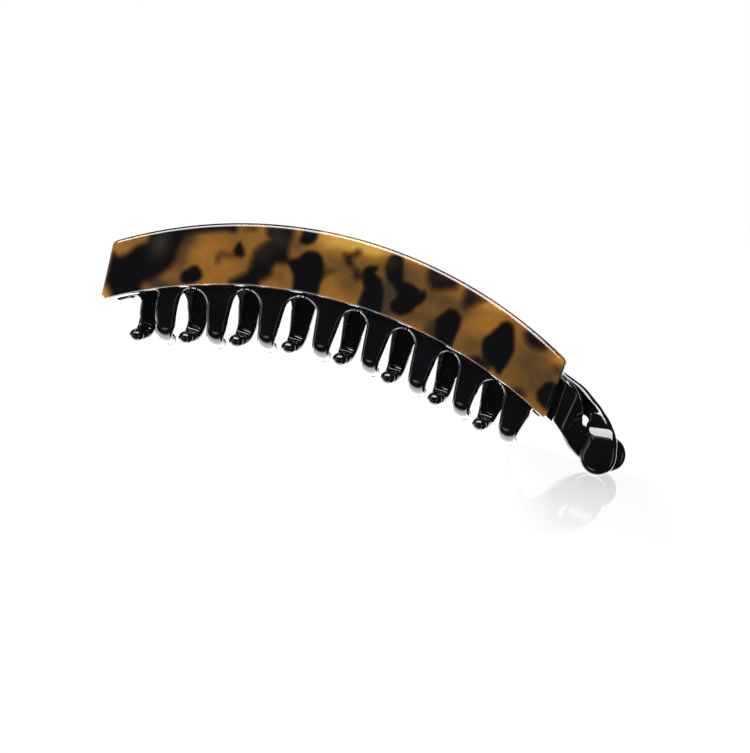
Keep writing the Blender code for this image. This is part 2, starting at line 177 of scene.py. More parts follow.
def join_shells(shells: list[Shell]) -> Shell:
    """Put several shells into one.

    Args:
        shells: The closed surfaces.

    Returns:
        One shell that holds them all.
    """
    starts = np.cumsum([0] + [len(shell.points) for shell in shells[:-1]])
    return Shell(
        np.vstack([shell.points for shell in shells]),
        np.vstack([shell.quads + start for shell, start in zip(shells, starts)]),
        np.vstack([shell.triangles + start for shell, start in zip(shells, starts)]),
    )


def add_object(name: str, data: bpy.types.ID) -> bpy.types.Object:
    """Put a new object into the scene.

    Args:
        name: The object's name.
        data: Its mesh, light or camera.

    Returns:
        The new object.
    """
    obj = bpy.data.objects.new(name, data)
    bpy.context.scene.collection.objects.link(obj)
    return obj


def add_piece(name: str, shell: Shell, attributes: dict[str, Array] | None = None) -> bpy.types.Object:
    """Make an object of a shell, smooth, with outward faces and its place in its mesh.

    Args:
        name: The piece's name.
        shell: Its surface in metres.
        attributes: Values per point for the material, by name.

    Returns:
        The new object.
    """
    mesh = bpy.data.meshes.new(name)
    faces = shell.quads.tolist() + shell.triangles.tolist()
    mesh.from_pydata(shell.points.tolist(), [], faces)
    for key, values in (attributes or {}).items():
        mesh.attributes.new(key, "FLOAT", "POINT").data.foreach_set("value", values.astype(np.float32))
    bm = bmesh.new()
    bm.from_mesh(mesh)
    bmesh.ops.recalc_face_normals(bm, faces=bm.faces[:])
    bm.to_mesh(mesh)
    bm.free()
    mesh.shade_smooth()
    obj = add_object(name, mesh)
    obj.modifiers.new("flat_faces", "WEIGHTED_NORMAL")
    return obj


def grid_quads(rows: int, columns: int, closed: bool = False) -> Array:
    """Quads between neighbouring rows and columns of a grid.

    Args:
        rows: How many rows it has.
        columns: How many columns it has.
        closed: Whether its columns close to a ring.

    Returns:
        The numbers of each quad's points.
    """
    start = np.arange(rows - 1)[:, None] * columns
    here = np.arange(columns if closed else columns - 1)[None, :]
    first = start + here
    second = start + (here + 1) % columns
    return np.stack([first, second, second + columns, first + columns], axis=-1).reshape(-1, 4)


def pole_fan(pole: int, first: int, around: int) -> Array:
    """Triangles between a pole and the ring round it.

    Args:
        pole: Number of the pole.
        first: Number of the ring's first point.
        around: How many points the ring has.

    Returns:
        The numbers of each triangle's points.
    """
    here = np.arange(around)
    return np.column_stack([np.full(around, pole), first + here, first + (here + 1) % around])


def smooth_rows(rows: Array, steps: int) -> Array:
    """Rows of a table with others between them, on a Catmull-Rom curve.

    Between the rows b and c, with a before and d after and t from 0 to 1, the curve is half of
    2b + (c - a)t + (2a - 5b + 4c - d)t^2 + (3b - a - 3c + d)t^3.

    Args:
        rows: The table.
        steps: How many parts each stretch gets.

    Returns:
        The finer table.
    """
    padded = np.vstack([2.0 * rows[:1] - rows[1:2], rows, 2.0 * rows[-1:] - rows[-2:-1]])[:, None, :]
    a, b, c, d = padded[:-3], padded[1:-2], padded[2:-1], padded[3:]
    t = (np.arange(steps) / steps)[None, :, None]
    bend = (2.0 * a - 5.0 * b + 4.0 * c - d) * t**2
    twist = (3.0 * b - a - 3.0 * c + d) * t**3
    curve = 0.5 * (2.0 * b + (c - a) * t + bend + twist)
    return np.vstack([curve.reshape(-1, rows.shape[1]), rows[-1:]])


@dataclass(frozen=True)
class Rim:
    """Thickness of a flat moulding and the shape of its two edges, round or partly chamfered.

    The mitre limit is the least number that two edge normals' sum is divided by, so that the rim
    doesn't run out to a spike at a sharp corner.
    """

    low: float
    high: float
    low_radius: float
    high_radius: float
    steps: int = 5
    chamfer: float = 0.0
    mitre_limit: float = 0.7

    @classmethod
    def even(cls, thickness: float, radius: float, **shape: float) -> "Rim":
        """A rim whose two edges are alike, on both sides of the sheet's middle."""
        return cls(-thickness / 2.0, thickness / 2.0, radius, radius, **shape)

    def edge(self, radius: float) -> tuple[Array, Array]:
        """One edge: radius (sin a, 1 - cos a), blended by the chamfer's share with its chord.

        Args:
            radius: How far the edge reaches, outwards and in depth.

        Returns:
            How far each layer stands out, and how far it lies below the face.
        """
        share = np.linspace(0.0, 1.0, self.steps + 1)
        angle = share * math.pi / 2.0
        out = (1.0 - self.chamfer) * np.sin(angle) + self.chamfer * share
        depth = (1.0 - self.chamfer) * (1.0 - np.cos(angle)) + self.chamfer * share
        return radius * out, radius * depth

    def profile(self) -> tuple[Array, Array]:
        """The whole rim, from the high face down to the low one.

        Returns:
            How far each layer stands outside the high face's edge, and its depth.
        """
        high_out, high_depth = self.edge(self.high_radius)
        low_out, low_depth = self.edge(self.low_radius)
        out = np.concatenate([high_out, self.high_radius - self.low_radius + low_out[::-1]])
        depth = np.concatenate([self.high - high_depth, self.low + low_depth[::-1]])
        return out, depth


@dataclass
class FlatPattern:
    """A flat shape on the sheet, drawn along the edge of its high face."""

    points: Array
    quads: Array

    @classmethod
    def from_blocks(cls, blocks: list[Array]) -> "FlatPattern":
        """Weld blocks of rows and columns into one pattern, every quad anticlockwise.

        Args:
            blocks: Arrays of rows x columns x 2.

        Returns:
            The welded pattern.
        """
        flat = np.vstack([block.reshape(-1, 2) for block in blocks])
        starts = np.cumsum([0] + [block.shape[0] * block.shape[1] for block in blocks[:-1]])
        quads = np.vstack([
            grid_quads(block.shape[0], block.shape[1]) + start for block, start in zip(blocks, starts)
        ])
        diagonal_a = flat[quads[:, 2]] - flat[quads[:, 0]]
        diagonal_b = flat[quads[:, 3]] - flat[quads[:, 1]]
        clockwise = diagonal_a[:, 0] * diagonal_b[:, 1] - diagonal_a[:, 1] * diagonal_b[:, 0] < 0.0
        quads[clockwise] = quads[clockwise][:, ::-1]
        tenth_micron = 1e-7
        _, first, inverse = np.unique(
            np.round(flat / tenth_micron), axis=0, return_index=True, return_inverse=True,
        )
        return cls(flat[first], inverse.reshape(-1)[quads])

    def edges(self) -> tuple[Array, Array]:
        """Find the edges that only one quad has.

        Returns:
            The numbers of their starts and of their ends.
        """
        starts = self.quads.reshape(-1)
        ends = np.roll(self.quads, -1, axis=1).reshape(-1)
        count = len(self.points)
        alone = ~np.isin(starts * count + ends, ends * count + starts)
        return starts[alone], ends[alone]

    def thicken(self, rim: Rim, reach: Array | None = None) -> Shell:
        """Give the pattern two faces and a rim.

        Each point of the edge moves outwards along its mitred normal, the sum of the two edge
        normals over half its squared length or the mitre limit, by the rim profile's amounts times
        its reach.

        Args:
            rim: The thickness and the edges' shape.
            reach: How many times wider the rim is at each point, or None for once.

        Returns:
            A closed shell in x, w and v.
        """
        starts, ends = self.edges()
        along = self.points[ends] - self.points[starts]
        length = np.linalg.norm(along, axis=1, keepdims=True)
        outwards = np.stack([along[:, 1], -along[:, 0]], axis=1) / length
        total = np.zeros_like(self.points)
        np.add.at(total, starts, outwards)
        np.add.at(total, ends, outwards)
        border = np.unique(starts)
        half_square = 0.5 * (total[border] ** 2).sum(axis=1, keepdims=True)
        normal = total[border] / np.maximum(half_square, rim.mitre_limit)
        if reach is not None:
            normal *= reach[border][:, None]
        out, depth = rim.profile()
        count = len(self.points)
        high = np.column_stack([self.points, np.full(count, rim.high)])
        low_flat = self.points.copy()
        low_flat[border] += normal * out[-1]
        low = np.column_stack([low_flat, np.full(count, rim.low)])
        rings = self.points[border][None] + normal[None] * out[1:-1, None, None]
        depths = np.broadcast_to(depth[1:-1, None, None], (len(out) - 2, len(border), 1))
        middle = np.concatenate([rings, depths], axis=2).reshape(-1, 3)
        numbers = np.zeros((len(out), count), dtype=int)
        numbers[0] = np.arange(count)
        numbers[-1] = numbers[0] + count
        numbers[1:-1, border] = 2 * count + np.arange(len(middle)).reshape(len(out) - 2, len(border))
        corners = [numbers[:-1, ends], numbers[:-1, starts], numbers[1:, starts], numbers[1:, ends]]
        bands = np.stack(corners, axis=-1).reshape(-1, 4)
        quads = np.vstack([self.quads, self.quads[:, ::-1] + count, bands])
        return Shell(np.vstack([high, low, middle]), quads, no_triangles())


def arched_block(
    left: tuple[float, float],
    right: tuple[float, float],
    low: Callable[[Array], Array],
    high: Callable[[Array], Array],
    columns: int,
    shares: Array,
    round_left: float = 0.0,
    round_right: float = 0.0,
) -> Array:
    """A block between two arcs, with straight or rounded ends.

    Near a rounded end each column starts c - root(c^2 - (c - d)^2) inside the arcs, where c is the
    corner's radius and d the distance from the end.

    Args:
        left: The left end's x at the bottom and at the top.
        right: The right end's x at the bottom and at the top.
        low: Height of the lower arc.
        high: Height of the upper arc.
        columns: How many columns the straight part has.
        shares: Places of the rows, from 0 at the lower arc to 1 at the upper one.
        round_left: Corner radius of the left end.
        round_right: Corner radius of the right end.

    Returns:
        An array of rows x columns x 2.
    """
    width = right[0] - left[0]
    corner_points = 7
    turn = 1.0 - np.cos(np.linspace(0.0, math.pi / 2.0, corner_points))
    parts = [np.linspace(round_left, width - round_right, columns)]
    if round_left:
        parts.insert(0, round_left * turn[:-1])
    if round_right:
        parts.append(width - round_right * turn[-2::-1])
    distance = np.concatenate(parts)
    cut = np.zeros_like(distance)
    for radius, from_end in ((round_left, distance), (round_right, width - distance)):
        inside = np.clip(radius - from_end, 0.0, radius)
        cut = np.maximum(cut, radius - np.sqrt(radius**2 - inside**2))
    share_x = (distance / width)[None, :]
    share_w = shares[:, None]
    left_x = left[0] + (left[1] - left[0]) * share_w
    right_x = right[0] + (right[1] - right[0]) * share_w
    x = left_x + (right_x - left_x) * share_x
    bottom = low(x) + cut
    top = high(x) - cut
    return np.stack([x, bottom + (top - bottom) * share_w], axis=-1)


@dataclass(frozen=True)
class Sheet:
    """The leaning plane that one side's mouldings lie in."""

    side: Side

    def place(self, points: Array) -> Array:
        """Put points on the plane, which leans outwards going down.

        With down = apex - w, y is the side's sign times (offset + down sin(lean) + v cos(lean)),
        and z is apex - down cos(lean) + v sin(lean).

        Args:
            points: x, w and v of each point.

        Returns:
            Points in the clip's frame.
        """
        x, w, v = points.T
        down = APEX_Z - w
        out = TOP_OFFSET_Y + down * math.sin(LEAN) + v * math.cos(LEAN)
        z = APEX_Z - down * math.cos(LEAN) + v * math.sin(LEAN)
        return np.column_stack([x, self.side.value * out, z])


@dataclass(frozen=True)
class Teeth:
    """The row of teeth on one jaw and the hook that each follows."""

    sheet: Sheet
    middles: Array
    tips: Array
    ball_radius: float = 1.5 * MM
    tip_crossing_y: float = 1.9 * MM
    hook_radius: float = 3.1 * MM
    hook_end: float = math.radians(83.0)

    def hook(self) -> tuple[Array, float, Array]:
        """Work out the hooks.

        The drop to a hook's start and the straight end after it are what bring the ball to its
        height and across the middle plane by the crossing.

        Returns:
            Heights where the hooks start, the hooks' length and the heights where the teeth end.
        """
        ball_z = self.tips + self.ball_radius
        turn_y = self.hook_radius * (math.cos(LEAN) - math.cos(self.hook_end))
        turn_z = self.hook_radius * (math.sin(LEAN) + math.sin(self.hook_end))
        reach = TOP_OFFSET_Y + self.tip_crossing_y + (APEX_Z - ball_z - turn_z) * math.tan(LEAN)
        slope = math.sin(self.hook_end) + math.tan(LEAN) * math.cos(self.hook_end)
        straight = (reach - turn_y) / slope
        drop = (APEX_Z - ball_z - turn_z - straight * math.cos(self.hook_end)) / math.cos(LEAN)
        start = APEX_Z - drop
        length = self.hook_radius * (LEAN + self.hook_end)
        return start, length, start - length - straight

    def nearest(self, x: Array) -> Array:
        """Number of the tooth that is nearest to each x."""
        return np.abs(x[:, None] - self.middles[None, :]).argmin(axis=1)

    def place(self, points: Array) -> Array:
        """Put points on the leaning plane, or below a hook's start on its arc and straight end.

        With R the hook's radius and a the angle past the start, less the lean, a point moves in by
        R (cos(lean) - cos a) and down by R (sin(lean) + sin a), and then straight on.

        Args:
            points: x, w and v of each point.

        Returns:
            Points in the clip's frame.
        """
        x, w, v = points.T
        starts, length, _ = self.hook()
        start = starts[self.nearest(x)]
        past = np.maximum(start - w, 0.0)
        angle = np.minimum(past, length) / self.hook_radius - LEAN
        extra = np.maximum(past - length, 0.0)
        root = self.sheet.place(np.column_stack([x, start, np.zeros_like(x)]))
        inwards = self.hook_radius * (math.cos(LEAN) - np.cos(angle)) + extra * np.sin(angle)
        down = self.hook_radius * (math.sin(LEAN) + np.sin(angle)) + extra * np.cos(angle)
        sign = self.sheet.side.value
        bent = np.column_stack([
            x,
            root[:, 1] - sign * (inwards - v * np.cos(angle)),
            root[:, 2] - down - v * np.sin(angle),
        ])
        return np.where((w < start)[:, None], bent, self.sheet.place(points))


@dataclass
class Comb:
    """The arched rail of a jaw with its teeth, as a flat pattern."""

    outline: Outline
    teeth: Teeth
    fan: float
    crown: float
    fan_mm: tuple = (
        # place, shift
        (-64.3, 0.0), (-54.0, 1.4), (-47.4, 1.4), (-35.0, 0.9), (-23.0, 0.5), (-9.6, 0.0),
    )
    rim: float = 0.55 * MM
    chamfer: float = 0.45
    arch_below_plate: float = 0.9 * MM
    arch_foot_half_width: float = 2.75 * MM
    arch_height: float = 3.4 * MM
    corner_radius: float = 1.0 * MM
    fillet: float = 1.2 * MM
    fan_height: float = 8.0 * MM
    crown_lead: float = 1.5 * MM
    tooth_side: tuple = (
        # distance from the end, half width, in millimetres
        (0.0, 1.4), (1.2, 1.75), (3.0, 1.9), (6.0, 2.05), (9.5, 2.4),
    )
    last_side: tuple = ((0.0, 1.4), (1.2, 1.75), (3.0, 1.9), (6.0, 2.2), (11.5, 3.9))
    table_steps: int = 12
    side_rows: int = 44
    straight_rows: int = 5
    arch_rows: int = 12
    rail_rows: int = 9
    columns: int = 9
    left_columns: int = 26
    right_columns: int = 8

    def side_curve(self, index: int, direction: int) -> Array:
        """One side of a tooth and its quarter of the arch beside it, from the end upwards.

        The half width follows a smooth curve through the side's table, then a straight line to the
        arch's foot, then a quarter ellipse, foot + height sin(a) over gap - half width cos(a).

        Args:
            index: Which tooth.
            direction: -1 for the left side and 1 for the right.

        Returns:
            Points x and w.
        """
        middles = self.teeth.middles
        end_w = self.teeth.hook()[2][index]
        is_last = direction > 0 and index == len(middles) - 1
        is_first = direction < 0 and index == 0
        table = np.array(self.last_side if is_last else self.tooth_side) * MM
        side = smooth_rows(table, self.table_steps)
        distance = np.linspace(self.rim, table[-1, 0], self.side_rows)
        half = np.interp(distance, side[:, 0], side[:, 1]) - self.rim
        lower = np.column_stack([middles[index] + direction * half, end_w + distance])
        if is_first or is_last:
            arch_half = arch_high = self.fillet + self.rim
            edge = middles[index] + direction * (table[-1, 1] + self.fillet)
            foot = self.rail_low(edge) - arch_high
        else:
            neighbour = middles[index + direction]
            edge = (middles[index] + neighbour) / 2.0
            arch_half = abs(neighbour - middles[index]) / 2.0 - self.arch_foot_half_width + self.rim
            arch_high = self.arch_height + self.rim
            foot = self.outline.bottom.height(edge) - self.arch_below_plate - self.arch_height
        angle = np.linspace(0.0, math.pi / 2.0, self.arch_rows)
        arch = np.column_stack([
            edge - direction * arch_half * np.cos(angle), foot + arch_high * np.sin(angle),
        ])
        share = np.linspace(0.0, 1.0, self.straight_rows + 2)[1:-1, None]
        straight = lower[-1] + (arch[0] - lower[-1]) * share
        return np.vstack([lower, straight, arch])

    def rail_shares(self) -> Array:
        """Places of the rail's rows from its lower edge to its upper one."""
        return np.linspace(0.0, 1.0, self.rail_rows)

    def rail_low(self, x: Array) -> Array:
        """Lower edge of the rail's face."""
        return self.outline.rail_bottom(x) + self.rim

    def rail_high(self, x: Array) -> Array:
        """Upper edge of the rail's face."""
        return self.outline.rail_top(x) - self.rim

    def tooth_block(self, index: int) -> Array:
        """A tooth and the rail above it, as rows from its end to the rail's upper edge.

        Args:
            index: Which tooth.

        Returns:
            An array of rows x columns x 2.
        """
        left = self.side_curve(index, -1)
        right = self.side_curve(index, 1)
        share = np.linspace(0.0, 1.0, self.columns)[None, :, None]
        lower = left[:, None] + (right - left)[:, None] * share
        x = lower[-1, :, 0]
        rise = self.rail_shares()[1:, None]
        w = lower[-1, :, 1] + (self.rail_high(x) - lower[-1, :, 1])[None, :] * rise
        upper = np.stack([np.broadcast_to(x, w.shape), w], axis=-1)
        return np.vstack([lower, upper])

    def end_blocks(self, first: Array, last: Array) -> list[Array]:
        """The stretches of rail beyond the first and the last tooth.

        Args:
            first: The first tooth's block.
            last: The last tooth's block.

        Returns:
            Two blocks whose inner edges are those teeth's outer ones.
        """
        line = self.outline
        inset = line.rail_inset + self.rim
        first_x = first[-1, 0, 0]
        last_x = last[-1, -1, 0]
        radius = self.corner_radius - self.rim
        left = arched_block(
            (line.left_bottom_x + inset, line.left_top_x + inset), (first_x, first_x),
            self.rail_low, self.rail_high, self.left_columns, self.rail_shares(), round_left=radius,
        )
        right = arched_block(
            (last_x, last_x), (line.right_bottom_x - inset, line.right_top_x - inset),
            self.rail_low, self.rail_high, self.right_columns, self.rail_shares(), round_right=radius,
        )
        return [left, right]

    def fanned(self, points: Array) -> Array:
        """Lean the left teeth, so that they point a little towards the arch's centre.

        Above a hook's start a point moves left by the fan's table at its x, times the share t
        of the fan's height that it has reached, as t (2 - t).

        Args:
            points: x, w and v of each point.

        Returns:
            The points with their new x.
        """
        x, w, v = points.T
        starts, _, _ = self.teeth.hook()
        places, shifts = np.array(self.fan_mm).T * MM
        t = np.clip((w - starts[self.teeth.nearest(x)]) / self.fan_height, 0.0, 1.0)
        return np.column_stack([x - self.fan * np.interp(x, places, shifts) * t * (2.0 - t), w, v])

    def crowned(self, points: Array) -> Array:
        """Round the hooks across, so that they are fingers and not straps.

        The depth v is times 1 - c u^2, where u is the distance from the tooth's middle over its
        half width, and c grows from 0 at the hook's start to the crown at its end as t^2 (3 - 2t).

        Args:
            points: x, w and v of each point.

        Returns:
            The points with their new depths.
        """
        x, w, v = points.T
        starts, length, ends = self.teeth.hook()
        nearest = self.teeth.nearest(x)
        side = smooth_rows(np.array(self.tooth_side) * MM, self.table_steps)
        half = np.interp(w - ends[nearest], side[:, 0], side[:, 1])
        u = np.minimum(np.abs(x - self.teeth.middles[nearest]) / half, 1.0)
        t = np.clip((starts[nearest] + self.crown_lead - w) / (length + self.crown_lead), 0.0, 1.0)
        depth = v * (1.0 - self.crown * t * t * (3.0 - 2.0 * t) * u**2)
        return np.column_stack([x, w, depth])

    def shell(self) -> Shell:
        """The comb with its thickness, its hooks crowned, bent into place.

        Returns:
            A closed shell in the clip's frame.
        """
        blocks = [self.tooth_block(index) for index in range(len(self.teeth.middles))]
        blocks += self.end_blocks(blocks[0], blocks[-1])
        rim = Rim.even(SHEET_THICKNESS, self.rim, chamfer=self.chamfer)
        flat = FlatPattern.from_blocks(blocks).thicken(rim)
        return flat.moved(self.crowned).moved(self.fanned).moved(self.teeth.place)


@dataclass(frozen=True)
class Arm:
    """A ribbon that leaves one rail, passes over to the other side and ends in a round pad.

    Each row is a section across it: inner x and z, outer x and z, depth y and thickness, in
    millimetres. The last row but one is the pad's middle.
    """

    rows: tuple
    rim: float = 0.9 * MM
    reaches: tuple = (
        # share of the way to the pad, reach
        (0.0, 0.8), (0.5, 1.0), (1.0, 2.1),
    )
    nominal: float = 2.2 * MM
    columns: int = 15
    steps: int = 10
    row_step: float = 0.35 * MM
    end_rows: int = 8
    end_angle: float = math.radians(52.0)
    rim_steps: int = 8

    def table(self) -> tuple[Array, Array, Array, Array, Array]:
        """Work out a fine row of sections.

        Returns:
            Length along the middle line, middle points, unit vectors across and through the
            ribbon, and half widths with thicknesses.
        """
        fine = smooth_rows(np.array(self.rows), self.steps) * MM
        inner = fine[:, [0, 4, 1]]
        outer = fine[:, [2, 4, 3]]
        middle = (inner + outer) / 2.0
        half = (outer - inner) / 2.0
        width = np.linalg.norm(half, axis=1)
        across = half / width[:, None]
        along = np.gradient(middle, axis=0)
        through = np.cross(along, across)
        through /= np.linalg.norm(through, axis=1, keepdims=True)
        steps = np.linalg.norm(np.diff(middle, axis=0), axis=1)
        length = np.concatenate([[0.0], np.cumsum(steps)])
        return length, middle, across, through, np.column_stack([width, fine[:, 5]])

    def place(self, points: Array) -> Array:
        """Put points of the flat ribbon on the bent one: middle + across b + through v.

        Args:
            points: Length s along the ribbon, b across it and v through it.

        Returns:
            Points in the clip's frame.
        """
        length, middle, across, through, sizes = self.table()
        s, b, v = points.T

        def at(values: Array) -> Array:
            """Values of the fine table at each point's length."""
            return np.column_stack([np.interp(s, length, column) for column in values.T])

        scale = at(sizes)[:, 1] / self.nominal
        return at(middle) + at(across) * b[:, None] + at(through) * (v * scale)[:, None]

    def reach(self, s: Array, pad_s: float) -> Array:
        """How much wider the rim is at a length along the ribbon."""
        shares, reaches = np.array(self.reaches).T
        return np.interp(s / pad_s, shares, reaches)

    def shell(self) -> Shell:
        """The ribbon and its pad.

        The pad's rounded end blends straight rows into arcs of the pad's circle, R sin(p) along
        and R cos(p) across.

        Returns:
            A closed shell in the clip's frame.
        """
        length, _, _, _, sizes = self.table()
        pad = (len(self.rows) - 2) * self.steps
        side = np.linspace(-1.0, 1.0, self.columns)[None, :]
        count = int((length[pad] - self.rim) / self.row_step)
        s = np.linspace(self.rim, length[pad], count)[:, None]
        inset = self.rim * self.reach(s, length[pad])
        half = np.interp(s[:, 0], length, sizes[:, 0])[:, None] - inset
        ribbon = np.stack([np.broadcast_to(s, (count, self.columns)), side * half], axis=-1)
        radius = sizes[pad, 0] - self.rim * self.reaches[-1][1]
        share = np.linspace(0.0, 1.0, self.end_rows + 1)[1:, None]
        angle = share * self.end_angle
        sweep = math.pi - angle - (side + 1.0) / 2.0 * (math.pi - 2.0 * angle)
        round_row = np.stack([radius * np.sin(sweep), radius * np.cos(sweep)], axis=-1)
        flat_row = np.stack([
            np.broadcast_to(radius * np.sin(angle), sweep.shape), side * radius * np.cos(angle),
        ], axis=-1)
        blend = (share**2)[:, :, None]
        end = flat_row * (1.0 - blend) + round_row * blend
        end[:, :, 0] += length[pad]
        pattern = FlatPattern.from_blocks([np.concatenate([ribbon, end])])
        rim = Rim.even(self.nominal, self.rim, steps=self.rim_steps)
        reach = self.reach(pattern.points[:, 0], length[pad])
        return pattern.thicken(rim, reach).moved(self.place)


FRONT_ARM = Arm((
    # inner x, inner z, outer x, outer z, y, thickness
    (47.8, 9.2, 48.0, 19.4, -4.1, 2.6),
    (49.0, 7.9, 50.9, 17.7, -4.2, 2.6),
    (50.4, 6.2, 52.1, 16.0, -3.5, 2.4),
    (51.4, 4.6, 52.9, 13.6, -2.3, 2.2),
    (52.4, 3.4, 53.1, 10.8, -0.7, 2.1),
    (53.6, 2.2, 53.8, 9.7, 1.4, 2.1),
    (54.9, 1.3, 55.1, 9.1, 3.6, 2.1),
    (56.4, 0.9, 56.6, 8.6, 5.7, 2.1),
    (58.2, 0.6, 58.3, 8.1, 6.9, 2.1),
    (60.1, 0.0, 60.1, 8.2, 7.1, 2.16),
    (65.0, 0.0, 65.0, 8.2, 7.1, 2.16),
))
REAR_ARM = Arm((
    # inner x, inner z, outer x, outer z, y, thickness
    (45.2, 9.6, 45.4, 20.0, 4.1, 2.6),
    (47.6, 9.9, 48.4, 18.9, 4.0, 2.6),
    (49.9, 10.4, 51.2, 17.8, 3.5, 2.5),
    (52.3, 11.0, 54.2, 16.1, 2.1, 2.4),
    (54.0, 11.3, 56.4, 15.0, 0.4, 2.3),
    (55.1, 11.1, 58.5, 13.6, -1.3, 2.2),
    (55.5, 10.65, 60.2, 12.3, -2.9, 2.2),
    (55.6, 10.0, 61.7, 10.9, -4.5, 2.2),
    (56.2, 9.1, 62.9, 9.7, -6.0, 2.1),
    (56.9, 7.85, 63.8, 8.0, -6.8, 2.1),
    (56.8, 6.0, 64.2, 6.0, -7.1, 2.1),
    (56.25, 4.1, 64.45, 4.1, -7.1, 2.18),
    (56.25, -1.0, 64.45, -1.0, -7.1, 2.18),
))


@dataclass
class Jaw:
    """One black moulded jaw: the comb, the balls on its teeth, its arm and pad and its hinge
    knuckles."""

    side: Side
    teeth_mm: tuple
    arm: Arm
    tab_mm: tuple
    knuckles_mm: tuple
    hinge_x: float = -59.5 * MM
    knuckle_radius: float = 2.4 * MM
    knuckle_reach: float = 3.6 * MM
    knuckle_soft: float = 0.2 * MM
    knuckle_points: int = 72
    relief_radius: float = 2.8 * MM
    relief_z: tuple = (7.4 * MM, 21.4 * MM)
    hole_radius: float = 1.0 * MM
    tab_rim: float = 0.35 * MM
    tab_points: int = 7
    ball_stretch: float = 1.0
    fan: float = 1.0
    crown: float = 0.55

    def teeth(self) -> Teeth:
        """The jaw's teeth on its leaning sheet."""
        table = np.array(self.teeth_mm) * MM
        return Teeth(Sheet(self.side), table[:, 0], table[:, 1])

    def clear_hinge(self, points: Array) -> Array:
        """Hollow the rail round the hinge: y is at least root(r^2 - dx^2) between two heights.

        Args:
            points: Points in the clip's frame.

        Returns:
            The points with their new y.
        """
        x, y, z = points.T
        across = np.sqrt(np.maximum(self.relief_radius**2 - (x - self.hinge_x) ** 2, 0.0))
        near = (z > self.relief_z[0]) & (z < self.relief_z[1])
        depth = np.where(near, np.maximum(np.abs(y), across), np.abs(y))
        return np.column_stack([x, self.side.value * depth, z])

    def comb(self) -> Shell:
        """The rail and the teeth, hollowed at the hinge where they are straight.

        Returns:
            A closed shell in the clip's frame.
        """
        shell = Comb(OUTLINES[self.side], self.teeth(), self.fan, self.crown).shell()
        near_hinge = shell.points[:, 0] < self.hinge_x + self.relief_radius
        cleared = np.where(near_hinge[:, None], self.clear_hinge(shell.points), shell.points)
        return Shell(cleared, shell.quads, shell.triangles)

    def tab(self) -> Shell:
        """The stretch of sheet past the plate's end that carries the arm.

        Returns:
            A closed shell in the clip's frame.
        """
        left_low, right_low, right_high, left_high = (np.array(corner) * MM for corner in self.tab_mm)
        share = np.linspace(0.0, 1.0, self.tab_points)
        low = left_low + (right_low - left_low) * share[:, None]
        high = left_high + (right_high - left_high) * share[:, None]
        block = low[None] + (high - low)[None] * share[:, None, None]
        rim = Rim.even(SHEET_THICKNESS, self.tab_rim)
        return FlatPattern.from_blocks([block]).thicken(rim).moved(Sheet(self.side).place)

    def balls(self, around: int = 28, along: int = 16) -> list[Shell]:
        """The ball on each tooth: radius times (stretch cos p, sin p sin q, sin p cos q).

        Args:
            around: Points round the axis.
            along: Steps along it.

        Returns:
            One closed shell a tooth.
        """
        teeth = self.teeth()
        ends = teeth.hook()[2]
        centres = teeth.place(np.column_stack([teeth.middles, ends, np.zeros_like(ends)]))
        p = np.linspace(0.0, math.pi, along + 1)[1:-1, None]
        q = np.linspace(0.0, 2.0 * math.pi, around, endpoint=False)[None, :]
        ring = np.stack([
            np.broadcast_to(np.cos(p), (along - 1, around)), np.sin(p) * np.sin(q), np.sin(p) * np.cos(q),
        ], axis=-1).reshape(-1, 3)
        poles = np.array([[1.0, 0.0, 0.0], [-1.0, 0.0, 0.0]])
        unit = np.vstack([ring, poles]) * teeth.ball_radius * np.array([self.ball_stretch, 1.0, 1.0])
        turned_round = [0, 2, 1]
        last_fan = pole_fan(len(ring) + 1, (along - 2) * around, around)[:, turned_round]
        triangles = np.vstack([pole_fan(len(ring), 0, around), last_fan])
        quads = grid_quads(along - 1, around, closed=True)
        return [Shell(unit + centre, quads, triangles) for centre in centres]

    def knuckle(self, low_z: float, high_z: float) -> Shell:
        """A hinge knuckle with its pin hole, as a ring swept round the pin.

        Towards the other jaw it is a half circle. Towards its own rail it is a box, whose distance
        from the pin is the less of radius / |cos| and reach / |sin|.

        Args:
            low_z: Its lower face.
            high_z: Its upper face.

        Returns:
            A closed ring.
        """
        ring = self.knuckle_points
        angle = np.linspace(0.0, 2.0 * math.pi, ring, endpoint=False)
        near_zero = 1e-6
        cosine = np.maximum(np.abs(np.cos(angle)), near_zero)
        sine = np.maximum(np.abs(np.sin(angle)), near_zero)
        box = np.minimum(self.knuckle_radius / cosine, self.knuckle_reach / sine)
        outer = np.where(np.sin(angle) > 0.0, box, self.knuckle_radius)
        inner = np.full_like(outer, self.hole_radius)
        soft = self.knuckle_soft
        radii = np.stack([inner, outer - soft, outer, outer, outer - soft, inner])
        heights = np.array([low_z, low_z, low_z + soft, high_z - soft, high_z, high_z])[:, None]
        points = np.stack([
            self.hinge_x + radii * np.cos(angle),
            self.side.value * radii * np.sin(angle),
            np.broadcast_to(heights, radii.shape),
        ], axis=-1).reshape(-1, 3)
        quads = grid_quads(len(radii), ring, closed=True)
        here = np.arange(ring)
        after = (here + 1) % ring
        last = (len(radii) - 1) * ring
        bore = np.column_stack([last + here, last + after, after, here])
        return Shell(points, np.vstack([quads, bore]), no_triangles())

    def build(self, material: bpy.types.Material) -> bpy.types.Object:
        """Make the whole jaw, dress it and stand it in for its CAD node.

        Args:
            material: The black moulding's material.

        Returns:
            The jaw.
        """
        knuckles = [self.knuckle(low * MM, high * MM) for low, high in self.knuckles_mm]
        shells = [self.comb(), self.tab(), self.arm.shell(), *self.balls(), *knuckles]
        name = f"{self.side.body}_jaw"
        jaw = add_piece(f"{name}_moulding", join_shells(shells))
        jaw.data.materials.append(material)
        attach(jaw, self.side.body)
        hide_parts(name)
        return jaw


